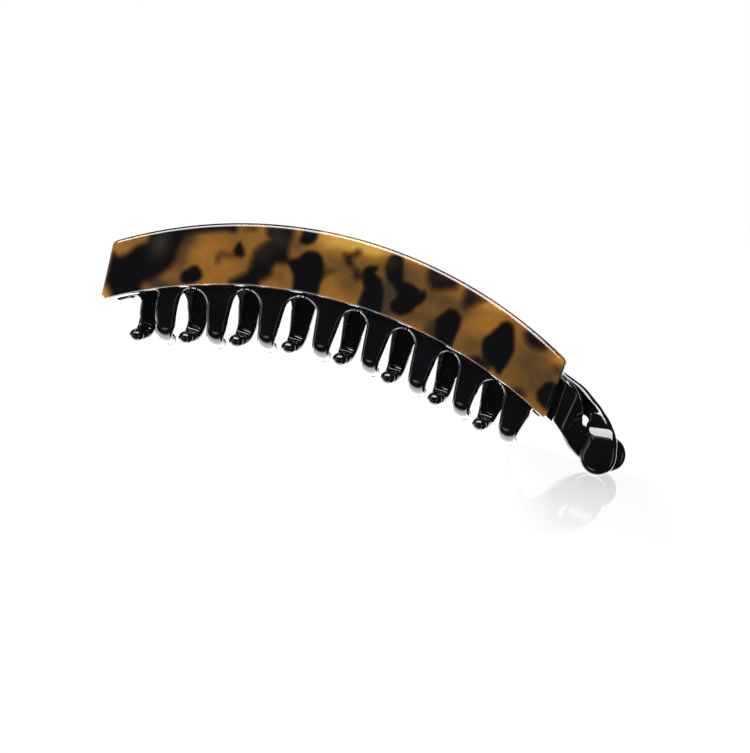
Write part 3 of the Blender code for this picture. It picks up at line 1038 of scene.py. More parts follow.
@dataclass(frozen=True)
class View:
    """The photograph's view: where the camera stands and how a pixel meets the front plate."""

    azimuth: float = math.radians(14.0)
    elevation: float = math.radians(5.0)
    roll: float = math.radians(14.6)
    distance: float = 700.0 * MM
    pixel: float = 0.232 * MM
    target: tuple = (3.8 * MM, 0.0, 7.35 * MM)
    width: int = 750
    height: int = 753
    sensor: float = 36.0
    clip: tuple = (0.01, 50.0)

    def axes(self) -> tuple[Array, Array, Array]:
        """Work out the camera's directions.

        Returns:
            Unit vectors to the picture's right, up and away from the camera.
        """
        away = -np.array([
            math.sin(self.azimuth) * math.cos(self.elevation),
            -math.cos(self.azimuth) * math.cos(self.elevation),
            math.sin(self.elevation),
        ])
        level = np.array([math.cos(self.azimuth), math.sin(self.azimuth), 0.0])
        upright = np.cross(level, away)
        right = math.cos(self.roll) * level + math.sin(self.roll) * upright
        up = -math.sin(self.roll) * level + math.cos(self.roll) * upright
        return right, up, away

    def place(self) -> Array:
        """Where the camera stands."""
        return np.array(self.target) - self.axes()[2] * self.distance

    def on_plate(self, pixels: Array) -> Array:
        """Where pixels of the photograph meet the front plate's face.

        The ray from the camera is away + right (px - middle) / f + up (middle - py) / f, with f
        the focal length in pixels, and it meets the plane n.(p - p0) = 0.

        Args:
            pixels: Pairs of px and py.

        Returns:
            Pairs of x and w on the sheet.
        """
        right, up, away = self.axes()
        focal = self.distance / self.pixel
        px = (pixels[:, :1] - self.width / 2.0) / focal
        py = (self.height / 2.0 - pixels[:, 1:]) / focal
        rays = away + right * px + up * py
        face = Sheet(Side.FRONT).place(np.array([[0.0, APEX_Z, PLATE_FACE]]))[0]
        normal = np.array([0.0, -math.cos(LEAN), math.sin(LEAN)])
        share = ((face - self.place()) @ normal) / (rays @ normal)
        points = self.place() + rays * share[:, None]
        down = (APEX_Z + PLATE_FACE * math.sin(LEAN) - points[:, 2]) / math.cos(LEAN)
        return np.column_stack([points[:, 0], APEX_Z - down])

    def camera(self) -> bpy.types.Object:
        """Set up the scene's camera and make it the one that renders.

        Returns:
            The camera.
        """
        right, up, away = self.axes()
        data = bpy.data.cameras.new("camera")
        data.sensor_fit = "HORIZONTAL"
        data.sensor_width = self.sensor
        data.lens = self.sensor * self.distance / self.pixel / self.width
        data.clip_start, data.clip_end = self.clip
        camera = add_object("camera", data)
        turned = Matrix((right, up, -away)).transposed().to_4x4()
        camera.matrix_world = Matrix.Translation(Vector(self.place())) @ turned
        bpy.context.scene.camera = camera
        return camera


@dataclass(frozen=True)
class Patch:
    """A dark patch of the tortoiseshell, charted on the photograph's front plate."""

    grade: Grade
    pixels: tuple

    def darkness(self, points: Array, view: View, spread: float = 1.0) -> Array:
        """How dark the patch makes each point: a smooth step of its distance inside the outline.

        The distance is the least one to the outline's edges. A point is inside where an odd
        number of edges pass on its right.

        Args:
            points: x and w of each point.
            view: The photograph's view.
            spread: How many times softer than its grade the edge is.

        Returns:
            Values from 0 to the grade's darkness.
        """
        start = view.on_plate(np.array(self.pixels, dtype=float))
        end = np.roll(start, -1, axis=0)
        edge = end - start
        offset = points[:, None, :] - start[None]
        share = np.clip((offset * edge).sum(axis=2) / (edge**2).sum(axis=1), 0.0, 1.0)
        distance = np.linalg.norm(offset - share[:, :, None] * edge, axis=2).min(axis=1)
        height = points[:, 1:2]
        spans = (start[:, 1] > height) != (end[:, 1] > height)
        level = np.where(edge[:, 1] == 0.0, 1.0, edge[:, 1])
        crossing = start[:, 0] + (height - start[:, 1]) / level * edge[:, 0]
        inside = (spans & (points[:, :1] < crossing)).sum(axis=1) % 2 == 1
        strength, softness = self.grade.value
        depth = np.where(inside, distance, -distance) / (softness * spread)
        t = np.clip(0.5 + 0.5 * depth, 0.0, 1.0)
        return strength * t * t * (3.0 - 2.0 * t)


@dataclass(frozen=True)
class Glow:
    """A place where the amber is lighter (above 0) or deeper (below 0), by its pixel, its reach
    across and down in pixels and its strength. The thin lighter ones along the plate's top edge
    are painted light, a band lit by a soft reflection."""

    px: float
    py: float
    across: float
    down: float
    strength: float


@dataclass(frozen=True)
class TortoiseChart:
    """The pattern of the front plate: dark patches on amber that turns lighter and deeper. Along
    the top edge a lighter band and milkier patches are painted light.
    """

    view: View
    patches: tuple
    glows: tuple
    veils: tuple
    halo_spread: float = 3.5
    halo_depth: float = 0.18

    def cover(self, points: Array, spread: float = 1.0) -> Array:
        """The patches together: one less the product of one less each patch's darkness.

        Args:
            points: x and w of each point.
            spread: How many times softer than their grades the edges are.

        Returns:
            Values from 0 to 1.
        """
        clear = np.ones(len(points))
        for patch in self.patches:
            clear *= 1.0 - patch.darkness(points, self.view, spread)
        return 1.0 - clear

    def glow(self, points: Array, glows: tuple) -> Array:
        """Glows together, each strength exp(-(dx / across)^2 - (dw / down)^2).

        Args:
            points: x and w of each point.
            glows: The glows.

        Returns:
            Their sum at each point.
        """
        total = np.zeros(len(points))
        middles = self.view.on_plate(np.array([(glow.px, glow.py) for glow in glows]))
        for glow, middle in zip(glows, middles):
            reach = np.array([glow.across, glow.down]) * self.view.pixel
            away = (((points - middle) / reach) ** 2).sum(axis=1)
            total += glow.strength * np.exp(-away)
        return total

    def veil(self, points: Array) -> Array:
        """How milky the dark patches are. Along the top edge this milkiness is painted light."""
        return np.clip(self.glow(points, self.veils), 0.0, 1.0)

    def tone(self, points: Array) -> Array:
        """How light the amber is: a half, the glows, and less in the halo round each patch. The glows
        along the top edge are painted light.
        """
        halo = self.halo_depth * self.cover(points, self.halo_spread)
        return np.clip(0.5 + self.glow(points, self.glows) - halo, 0.0, 1.0)


CHART = TortoiseChart(
    View(),
    patches=(
        Patch(Grade.MELTED, (
            (104, 281), (110, 262), (113, 253), (119, 257), (127, 254), (136, 247), (147, 243),
            (150, 238), (150, 228), (170, 222), (200, 216), (237, 216), (237, 229), (235, 232),
            (225, 230), (208, 231), (195, 233), (186, 236), (181, 243), (177, 251), (175, 259),
            (170, 267), (162, 274), (152, 279), (144, 281), (141, 286), (141, 300), (113, 304),
            (112, 294), (108, 286),
        )),
        Patch(Grade.SOLID, (
            (180, 278), (183, 272), (188, 269), (193, 266), (197, 266), (201, 271), (202, 276),
            (199, 280), (194, 283), (186, 284), (181, 282),
        )),
        Patch(Grade.SOLID, (
            (240, 242), (242, 245), (244, 251), (244, 255), (241, 257), (236, 255), (234, 250),
            (237, 244),
        )),
        Patch(Grade.FAINT, (
            (236, 252), (229, 253), (219, 251), (215, 256), (216, 264), (220, 262), (222, 257),
            (231, 258), (237, 257),
        )),
        Patch(Grade.FAINT, ((243, 220), (259, 220), (257, 231), (250, 232), (244, 231))),
        Patch(Grade.MELTED, (
            (267, 220), (295, 224), (292, 238), (289, 246), (288, 254), (289, 262), (283, 263),
            (276, 263), (272, 268), (271, 274), (266, 278), (260, 281), (256, 290), (228, 290),
            (230, 281), (240, 276), (247, 272), (251, 266), (253, 259), (255, 252), (259, 247),
            (265, 243), (271, 240), (268, 234),
        )),
        Patch(Grade.SOLID, (
            (289, 262), (295, 259), (300, 257), (304, 253), (308, 251), (313, 251), (318, 253),
            (322, 258), (323, 264), (323, 272), (322, 278), (320, 285), (317, 296), (292, 293),
            (293, 284), (294, 276), (291, 268),
        )),
        Patch(Grade.FAINT, ((321, 266), (329, 268), (338, 271), (330, 275), (321, 280))),
        Patch(Grade.SOLID, (
            (302, 226), (320, 228), (317, 239), (313, 243), (307, 245), (301, 243), (300, 239),
            (303, 234),
        )),
        Patch(Grade.SOFT, (
            (344, 253), (349, 254), (354, 253), (357, 250), (360, 251), (360, 254), (355, 257),
            (352, 259), (353, 264), (350, 266), (347, 264), (345, 259),
        )),
        Patch(Grade.SOFT, ((354, 269), (358, 269), (361, 274), (362, 278), (357, 279), (354, 276))),
        Patch(Grade.SOLID, (
            (365, 268), (370, 266), (377, 266), (378, 269), (375, 273), (381, 280), (383, 290),
            (382, 300), (381, 308), (378, 320), (358, 312), (359, 302), (361, 296), (364, 288),
            (363, 278), (363, 273),
        )),
        Patch(Grade.SOLID, (
            (388, 261), (390, 257), (395, 254), (401, 254), (403, 260), (403, 268), (402, 275),
            (402, 281), (407, 283), (412, 285), (417, 289), (421, 292), (424, 291), (426, 295),
            (424, 300), (421, 304), (416, 306), (412, 311), (406, 314), (400, 315), (395, 313),
            (391, 309), (391, 304), (395, 300), (398, 296), (397, 291), (394, 286), (390, 281),
            (387, 275), (386, 268),
        )),
        Patch(Grade.SOFT, (
            (428, 271), (430, 264), (446, 272), (459, 282), (456, 288), (450, 289), (440, 290),
            (432, 289), (428, 283), (427, 277),
        )),
        Patch(Grade.SOFT, (
            (466, 291), (470, 286), (480, 294), (485, 301), (478, 304), (472, 307), (466, 308),
            (463, 303), (463, 297),
        )),
        Patch(Grade.SOLID, (
            (437, 319), (442, 314), (450, 309), (456, 311), (461, 318), (459, 327), (455, 336),
            (450, 350), (440, 345), (436, 334),
        )),
        Patch(Grade.FAINT, ((424, 325), (430, 321), (440, 318), (444, 330), (440, 345), (422, 335))),
        Patch(Grade.SOLID, (
            (484, 338), (490, 335), (495, 330), (499, 327), (502, 323), (508, 322), (513, 325),
            (514, 333), (514, 342), (514, 350), (511, 357), (507, 364), (503, 369), (500, 374),
            (497, 373), (494, 367), (488, 362), (484, 357), (482, 350), (482, 343),
        )),
        Patch(Grade.SOFT, ((470, 356), (478, 356), (485, 359), (491, 364), (488, 370), (474, 364))),
        Patch(Grade.SOFT, (
            (524, 334), (530, 328), (538, 336), (548, 346), (545, 350), (538, 350), (531, 348),
            (526, 343),
        )),
        Patch(Grade.SOLID, (
            (541, 388), (546, 383), (551, 382), (560, 386), (557, 394), (553, 403), (549, 410),
            (545, 409), (541, 405), (537, 399), (537, 392),
        )),
        Patch(Grade.SOFT, ((511, 389), (516, 388), (522, 390), (525, 395), (517, 396))),
        Patch(Grade.FAINT, ((554, 366), (560, 367), (564, 372), (559, 376), (554, 372))),
    ),
    glows=(
        # px, py, across, down, strength
        # painted light: lighter band along the top edge
        Glow(118, 246, 22, 8, 0.15),
        Glow(105, 294, 8, 8, 0.25),
        Glow(160, 284, 26, 7, -0.42),
        Glow(182, 255, 9, 24, -0.38),
        Glow(193, 240, 9, 9, -0.2),
        Glow(205, 250, 22, 20, 0.08),
        Glow(226, 240, 26, 12, -0.05),
        Glow(245, 264, 12, 9, -0.1),
        Glow(281, 276, 12, 12, -0.2),
        Glow(298, 243, 8, 14, -0.25),
        # painted light: lighter band along the top edge, lit by a soft reflection
        Glow(340, 240, 34, 12, 0.45),
        # painted light: lighter band along the top edge
        Glow(372, 250, 26, 6, 0.3),
        Glow(336, 262, 16, 10, -0.24),
        Glow(364, 262, 12, 8, -0.14),
        Glow(384, 264, 8, 10, -0.12),
        Glow(350, 284, 14, 14, -0.28),
        Glow(330, 292, 16, 10, 0.06),
        Glow(390, 292, 14, 30, -0.5),
        Glow(415, 275, 14, 12, -0.24),
        # painted light: lighter band along the top edge
        Glow(408, 257, 26, 4, 0.3),
        Glow(440, 300, 30, 12, -0.34),
        Glow(463, 312, 9, 10, -0.2),
        Glow(420, 318, 30, 10, -0.28),
        Glow(484, 321, 18, 12, 0.1),
        # painted light: lighter band along the top edge
        Glow(500, 308, 40, 5, 0.26),
        Glow(468, 344, 20, 14, -0.24),
        Glow(535, 372, 34, 28, -0.36),
        # painted light: lighter band along the top edge
        Glow(560, 360, 12, 6, 0.35),
        Glow(510, 380, 12, 10, 0.02),
    ),
    veils=(
        # px, py, across, down, strength
        Glow(160, 243, 9, 13, 0.9),
        Glow(277, 238, 14, 10, 0.55),
        Glow(262, 252, 10, 9, 0.35),
        Glow(392, 262, 7, 8, 0.4),
        Glow(440, 276, 12, 6, 0.35),
        Glow(478, 294, 10, 6, 0.3),
        # painted light: these four veils lie on the top edge, where the lit band crosses the dark patches
        Glow(185, 225, 10, 5, 0.3),
        Glow(270, 226, 8, 4, 0.35),
        Glow(312, 230, 7, 4, 0.3),
        Glow(536, 334, 8, 5, 0.3),
    ),
)


@dataclass
class Plate:
    """An acetate plate with a rounded outer rim, lying a small gap off its rail."""

    side: Side
    chart: TortoiseChart
    rim: float = 0.8 * MM
    low_reach: float = 0.5
    end_reach: float = 1.9 * MM
    chamfer: float = 0.6
    # painted shade: between these depths below the face the rim's colour darkens, up to this share
    painted_edge_shade_depths: tuple = (0.42 * MM, 0.72 * MM)
    painted_edge_shade: float = 0.85
    inner_rim: float = 0.2 * MM
    corner_radius: float = 1.3 * MM
    turned_about: float = -8.5 * MM
    columns: int = 560
    rows: int = 34
    rim_steps: int = 8

    def shell(self) -> Shell:
        """The plate on the flat sheet: one block between its two arcs, with its thickness.

        Returns:
            A closed shell in x, w and v.
        """
        line = OUTLINES[self.side]

        def low(x: Array) -> Array:
            """Lower edge of the plate's face."""
            reach = np.where(line.near_end(x, self.end_reach), 1.0, self.low_reach)
            return line.bottom.height(x) + self.rim * reach

        def high(x: Array) -> Array:
            """Upper edge of the plate's face."""
            return line.top.height(x) - self.rim

        radius = self.corner_radius - self.rim
        block = arched_block(
            (line.left_bottom_x + self.rim, line.left_top_x + self.rim),
            (line.right_bottom_x - self.rim, line.right_top_x - self.rim),
            low, high, self.columns, np.linspace(0.0, 1.0, self.rows),
            round_left=radius, round_right=radius,
        )
        rim = Rim(
            PLATE_BACK, PLATE_FACE, self.inner_rim, self.rim, steps=self.rim_steps, chamfer=self.chamfer,
        )
        pattern = FlatPattern.from_blocks([block])
        x, w = pattern.points.T
        lower = w < (line.bottom.height(x) + line.top.height(x)) / 2.0
        narrow = lower & ~line.near_end(x, self.end_reach)
        return pattern.thicken(rim, np.where(narrow, self.low_reach, 1.0))

    def build(self, material: bpy.types.Material) -> bpy.types.Object:
        """Make the plate with its pattern and stand it in for its CAD node.

        The rear plate comes from another stretch of the same sheet: its chart is turned end for
        end close to the front plate's middle. The polished rim is painted darker with its depth, as
        painted shade for the light that goes a long way through the edges.

        Args:
            material: The acetate's material.

        Returns:
            The plate.
        """
        flat = self.shell()
        charted = flat.points[:, :2].copy()
        if self.side is Side.REAR:
            charted[:, 0] = 2.0 * self.turned_about - charted[:, 0]
        # painted shade: the rim's colour darkens with its depth below the face
        edge = np.interp(PLATE_FACE - flat.points[:, 2], self.painted_edge_shade_depths, (0.0, self.painted_edge_shade))
        values = {
            "darkness": np.maximum(self.chart.cover(charted), edge),
            "tone": self.chart.tone(charted),
            "veil": self.chart.veil(charted),
        }
        name = f"{self.side.body}_plate"
        plate = add_piece(f"{name}_acetate", flat.moved(Sheet(self.side).place), values)
        plate.data.materials.append(material)
        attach(plate, self.side.body)
        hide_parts(name)
        return plate


class Nodes:
    """Places and joins the nodes of one node tree."""

    def __init__(self, tree: bpy.types.NodeTree) -> None:
        """Start on a tree."""
        self.tree = tree

    def add(self, kind: str, **settings: object) -> bpy.types.Node:
        """Add a node.

        Args:
            kind: The kind of node.
            settings: Values for its properties, by name.

        Returns:
            The new node.
        """
        node = self.tree.nodes.new(kind)
        for key, value in settings.items():
            setattr(node, key, value)
        return node

    def join(self, source: Value, target: Socket) -> None:
        """Link an output to an input, or set the input to a number.

        Args:
            source: An output or a number.
            target: The input.
        """
        if isinstance(source, float):
            target.default_value = source
        else:
            self.tree.links.new(source, target)

    def noise(self, where: Socket, scale: float, detail: float) -> Socket:
        """A noise texture's value at a place.

        Args:
            where: The vector that it reads.
            scale: Its scale per metre.
            detail: Its detail.

        Returns:
            The value's socket.
        """
        texture = self.add("ShaderNodeTexNoise")
        texture.inputs["Scale"].default_value = scale
        texture.inputs["Detail"].default_value = detail
        self.join(where, texture.inputs["Vector"])
        return texture.outputs["Fac"]

    def combine(self, operation: str, first: Value, second: Value) -> Socket:
        """Put two values together.

        Args:
            operation: The sum's name, such as MULTIPLY.
            first: A number or a socket.
            second: A number or a socket.

        Returns:
            The result's socket.
        """
        node = self.add("ShaderNodeMath", operation=operation)
        self.join(first, node.inputs[0])
        self.join(second, node.inputs[1])
        return node.outputs["Value"]

    def spread(self, value: Socket, source: tuple, target: tuple) -> Socket:
        """Map a value from one range to another.

        Args:
            value: The value's socket.
            source: The range that it comes in.
            target: The range that it goes to.

        Returns:
            The mapped value's socket.
        """
        node = self.add("ShaderNodeMapRange")
        self.join(value, node.inputs["Value"])
        node.inputs["From Min"].default_value, node.inputs["From Max"].default_value = source
        node.inputs["To Min"].default_value, node.inputs["To Max"].default_value = target
        return node.outputs["Result"]

    def ramp(self, value: Socket, stops: tuple) -> Socket:
        """A colour ramp over a value.

        Args:
            value: The value's socket.
            stops: Pairs of place, from 0 to 1, and colour.

        Returns:
            The colour's socket.
        """
        node = self.add("ShaderNodeValToRGB")
        elements = node.color_ramp.elements
        for index in (0, -1):
            elements[index].position = stops[index][0]
            elements[index].color = (*stops[index][1], 1.0)
        for place, colour in stops[1:-1]:
            elements.new(place).color = (*colour, 1.0)
        self.join(value, node.inputs["Fac"])
        return node.outputs["Color"]

    def blend(self, mask: Socket, plain: Value, masked: Value) -> Socket:
        """Choose between two values by a mask.

        Args:
            mask: The mask's socket.
            plain: The value where the mask is 0, as a number or a socket.
            masked: The value where the mask is 1, as a number or a socket.

        Returns:
            The chosen value's socket.
        """
        mix = self.add("ShaderNodeMix", data_type="FLOAT")
        self.join(mask, mix.inputs["Factor"])
        self.join(plain, mix.inputs["A"])
        self.join(masked, mix.inputs["B"])
        return mix.outputs["Result"]


@dataclass(frozen=True)
class HandlingWear:
    """What handling leaves on a polished surface, which every finish uses.

    Broad, fine and ripple are noises, each by its scale per metre and its detail. Haze is the
    range of broad times fine that the mask spreads over.
    """

    broad: tuple = (90.0, 2.0)
    fine: tuple = (1400.0, 3.0)
    haze: tuple = (0.15, 0.4)
    ripple: tuple = (160.0, 1.0)

    def build(self) -> bpy.types.NodeTree:
        """Make the node group.

        Returns:
            A group that takes Vector and puts out Haze, a soft mask, and Ripple, a height.
        """
        tree = bpy.data.node_groups.new("handling_wear", "ShaderNodeTree")
        tree.interface.new_socket("Vector", in_out="INPUT", socket_type="NodeSocketVector")
        tree.interface.new_socket("Haze", in_out="OUTPUT", socket_type="NodeSocketFloat")
        tree.interface.new_socket("Ripple", in_out="OUTPUT", socket_type="NodeSocketFloat")
        nodes = Nodes(tree)
        where = nodes.add("NodeGroupInput").outputs["Vector"]
        sink = nodes.add("NodeGroupOutput")
        mixed = nodes.combine("MULTIPLY", nodes.noise(where, *self.broad), nodes.noise(where, *self.fine))
        nodes.join(nodes.spread(mixed, self.haze, (0.0, 1.0)), sink.inputs["Haze"])
        nodes.join(nodes.noise(where, *self.ripple), sink.inputs["Ripple"])
        return tree


@dataclass(frozen=True)
class Finish:
    """What every finish has: its name, the gloss range and how much its surface ripples."""

    name: str
    smooth: float
    hazy: float
    ripple: float

    def start(
        self, wear: bpy.types.NodeTree,
    ) -> tuple[bpy.types.Material, Nodes, bpy.types.Node, Socket]:
        """A material with gloss and ripple from the wear group.

        Args:
            wear: The wear group.

        Returns:
            The material, its nodes, its Principled shader and the socket of Object coordinates.
        """
        material = bpy.data.materials.new(self.name)
        material.use_nodes = True
        nodes = Nodes(material.node_tree)
        shader = material.node_tree.nodes["Principled BSDF"]
        place = nodes.add("ShaderNodeTexCoord").outputs["Object"]
        group = nodes.add("ShaderNodeGroup", node_tree=wear)
        nodes.join(place, group.inputs["Vector"])
        gloss = nodes.spread(group.outputs["Haze"], (0.0, 1.0), (self.smooth, self.hazy))
        nodes.join(gloss, shader.inputs["Roughness"])
        bump = nodes.add("ShaderNodeBump")
        bump.inputs["Strength"].default_value = 1.0
        bump.inputs["Distance"].default_value = self.ripple
        nodes.join(group.outputs["Ripple"], bump.inputs["Height"])
        nodes.join(bump.outputs["Normal"], shader.inputs["Normal"])
        return material, nodes, shader, place


@dataclass(frozen=True)
class CloudedFinish(Finish):
    """A finish whose colour drifts between two, as a soft cloud. The cloud is a noise's scale per
    metre and its detail, and its span is the two values where the colours are whole."""

    low: tuple
    high: tuple
    cloud: tuple
    span: tuple
    metallic: float = 0.0
    ior: float = 1.5

    def build(self, wear: bpy.types.NodeTree) -> bpy.types.Material:
        """Make the material.

        Args:
            wear: The wear group.

        Returns:
            The material.
        """
        material, nodes, shader, place = self.start(wear)
        cloud = nodes.noise(place, *self.cloud)
        colour = nodes.ramp(cloud, ((self.span[0], self.low), (self.span[1], self.high)))
        nodes.join(colour, shader.inputs["Base Color"])
        shader.inputs["Metallic"].default_value = self.metallic
        shader.inputs["IOR"].default_value = self.ior
        return material


@dataclass(frozen=True)
class GlossyBlack(CloudedFinish):
    """Polished black moulded plastic, a little uneven in its depth."""

    name: str = "glossy_black_plastic"
    smooth: float = 0.06
    hazy: float = 0.14
    ripple: float = 0.01 * MM
    low: tuple = (0.004, 0.004, 0.0052)
    high: tuple = (0.0076, 0.0076, 0.0105)
    cloud: tuple = (120.0, 3.0)
    span: tuple = (0.3, 0.7)


@dataclass(frozen=True)
class TortoiseAcetate(Finish):
    """Polished tortoiseshell acetate: charted dark patches with feathered edges on amber."""

    name: str = "tortoise_acetate"
    smooth: float = 0.05
    hazy: float = 0.068
    ripple: float = 0.004 * MM
    dark: tuple = (0.0068, 0.0062, 0.0078)
    deep_amber: tuple = (0.083, 0.054, 0.025)
    amber: tuple = (0.43, 0.185, 0.032)
    # the lightest amber shows mainly in the painted light band along the top edge
    light_amber: tuple = (0.92, 0.5, 0.09)
    milky: tuple = (0.056, 0.044, 0.036)
    tones: tuple = (0.05, 0.5, 0.95)
    cloud: tuple = (260.0, 2.0)
    span: tuple = (0.3, 0.7)
    drift: tuple = (-0.06, 0.06)
    ragged: tuple = (-0.09, 0.09)
    edge: tuple = (0.08, 0.94)
    feather: float = 2.2
    ior: float = 1.49

    def build(self, wear: bpy.types.NodeTree) -> bpy.types.Material:
        """Make the material from the piece's own darkness, tone and veil values, which also carry
        painted shade on the rim and painted light along the top edge.

        A cloud drifts through the amber and makes the patches' edges ragged. What is left clear
        of a patch is its edge's value raised to the feather.

        Args:
            wear: The wear group.

        Returns:
            The material.
        """
        material, nodes, shader, place = self.start(wear)
        darkness, tone, veil = (
            nodes.add("ShaderNodeAttribute", attribute_name=name).outputs["Fac"]
            for name in ("darkness", "tone", "veil")
        )
        cloud = nodes.noise(place, *self.cloud)
        drift = nodes.spread(cloud, self.span, self.drift)
        shades = (self.deep_amber, self.amber, self.light_amber)
        amber = nodes.ramp(nodes.combine("ADD", tone, drift), tuple(zip(self.tones, shades)))
        edge = nodes.combine("ADD", darkness, nodes.spread(cloud, self.span, self.ragged))
        clear = nodes.combine("POWER", nodes.spread(edge, self.edge, (1.0, 0.0)), self.feather)
        cover = nodes.combine("SUBTRACT", 1.0, clear)
        patch = nodes.ramp(veil, ((0.0, self.dark), (1.0, self.milky)))
        mix = nodes.add("ShaderNodeMix", data_type="RGBA")
        nodes.join(cover, mix.inputs["Factor"])
        nodes.join(amber, mix.inputs["A"])
        nodes.join(patch, mix.inputs["B"])
        nodes.join(mix.outputs["Result"], shader.inputs["Base Color"])
        shader.inputs["IOR"].default_value = self.ior
        return material


@dataclass(frozen=True)
class SpringSteel(CloudedFinish):
    """Bright drawn steel of the hinge rivet and the spring, with a fine cloud of tarnish."""

    name: str = "spring_steel"
    smooth: float = 0.22
    hazy: float = 0.42
    ripple: float = 0.01 * MM
    low: tuple = (0.4, 0.39, 0.38)
    high: tuple = (0.62, 0.62, 0.63)
    cloud: tuple = (700.0, 4.0)
    span: tuple = (0.35, 0.65)
    metallic: float = 1.0


@dataclass
class HingeFittings:
    """The hinge rivet and the torsion spring, which keep their CAD shapes."""

    names: tuple = ("hinge_pin", "torsion_spring")

    def dress(self, nodes: dict[str, bpy.types.Object], material: bpy.types.Material) -> None:
        """Give the fittings their steel.

        Args:
            nodes: The CAD nodes by name.
            material: The steel.
        """
        for name in self.names:
            obj = nodes[name]
            if not obj.material_slots:
                obj.data.materials.append(material)
            for slot in obj.material_slots:
                slot.material = material
            LOG.info("dressed %s", name)


class Reach(Enum):
    """What a soft box lights: everything, or only what is polished enough to mirror it."""

    ALL = "all"
    GLOSS = "gloss"


@dataclass(frozen=True)
class SoftBox:
    """A rectangular soft light, by its place, what it points at, its size, its brightness and
    what it lights."""

    name: str
    place: tuple
    size: tuple
    radiance: float
    reach: Reach = Reach.GLOSS
    aim: tuple = (0.0, 0.0, 0.02)

    def build(self) -> bpy.types.Object:
        """Make the light. Its power is pi times its area times its radiance.

        Returns:
            The light.
        """
        data = bpy.data.lights.new(self.name, "AREA")
        data.shape = "RECTANGLE"
        data.size, data.size_y = self.size
        data.energy = math.pi * self.size[0] * self.size[1] * self.radiance
        light = add_object(self.name, data)
        light.location = self.place
        towards = Vector(self.aim) - Vector(self.place)
        light.rotation_euler = towards.to_track_quat("-Z", "Y").to_euler()
        light.visible_camera = False
        light.visible_diffuse = self.reach is Reach.ALL
        return light


@dataclass(frozen=True)
class Room:
    """What polished faces mirror: radiance by direction.

    At the height of the clip it goes by azimuth, in degrees to the right of the clip's front.
    Overhead it is dark but for the soft boxes, and below it is the lit table, which ends towards
    the camera.
    """

    level: tuple = (
        # degrees, radiance
        (-180.0, 0.4), (-177.0, 0.4), (-174.5, 1.0), (-159.0, 1.0), (-154.0, 0.45), (-60.0, 0.45),
        (-47.0, 0.5), (-44.0, 1.8), (-35.0, 1.8), (-31.0, 0.0), (33.0, 0.0), (36.0, 2.4),
        (42.0, 2.4), (46.0, 0.0), (154.0, 0.0), (159.0, 2.8), (174.0, 2.8), (180.0, 0.4),
    )
    level_top: tuple = (0.15, 0.3)
    below: tuple = (-0.15, -0.4)
    dark: float = 0.03
    table: float = 8.0
    table_edge: tuple = (-0.46, -0.22)
    table_end: tuple = (0.5, 0.65)
    spark: float = 2.2
    spark_towards: tuple = (-0.24, -0.86, -0.45)
    spark_reach: tuple = (0.08, 0.14)

    def radiance(self, nodes: Nodes) -> Socket:
        """Work out the radiance of the direction that is looked in.

        The azimuth is atan2(x, -y).

        Args:
            nodes: The world's nodes.

        Returns:
            The radiance's socket.
        """
        direction = nodes.add("ShaderNodeTexCoord").outputs["Generated"]
        split = nodes.add("ShaderNodeSeparateXYZ")
        nodes.join(direction, split.inputs["Vector"])
        x, y, z = split.outputs["X"], split.outputs["Y"], split.outputs["Z"]
        azimuth = nodes.combine("ARCTAN2", x, nodes.combine("MULTIPLY", y, -1.0))
        peak = max(value for _, value in self.level)
        stops = tuple(((degrees + 180.0) / 360.0, (value / peak,) * 3) for degrees, value in self.level)
        around = nodes.ramp(nodes.spread(azimuth, (-math.pi, math.pi), (0.0, 1.0)), stops)
        below = nodes.spread(z, self.below, (0.0, 1.0))
        not_above = nodes.spread(z, self.level_top, (peak, 0.0))
        band = nodes.combine("MULTIPLY", not_above, nodes.combine("SUBTRACT", 1.0, below))
        level = nodes.combine("MULTIPLY", band, around)
        lit = nodes.combine("MULTIPLY", below, nodes.spread(y, self.table_edge, (0.0, self.table)))
        table = nodes.combine("MULTIPLY", lit, nodes.spread(x, self.table_end, (1.0, 0.0)))
        away = nodes.add("ShaderNodeVectorMath", operation="DISTANCE")
        nodes.join(direction, away.inputs[0])
        away.inputs[1].default_value = self.spark_towards
        spark = nodes.spread(away.outputs["Value"], self.spark_reach, (self.spark, self.dark))
        return nodes.combine("ADD", level, nodes.combine("ADD", table, spark))


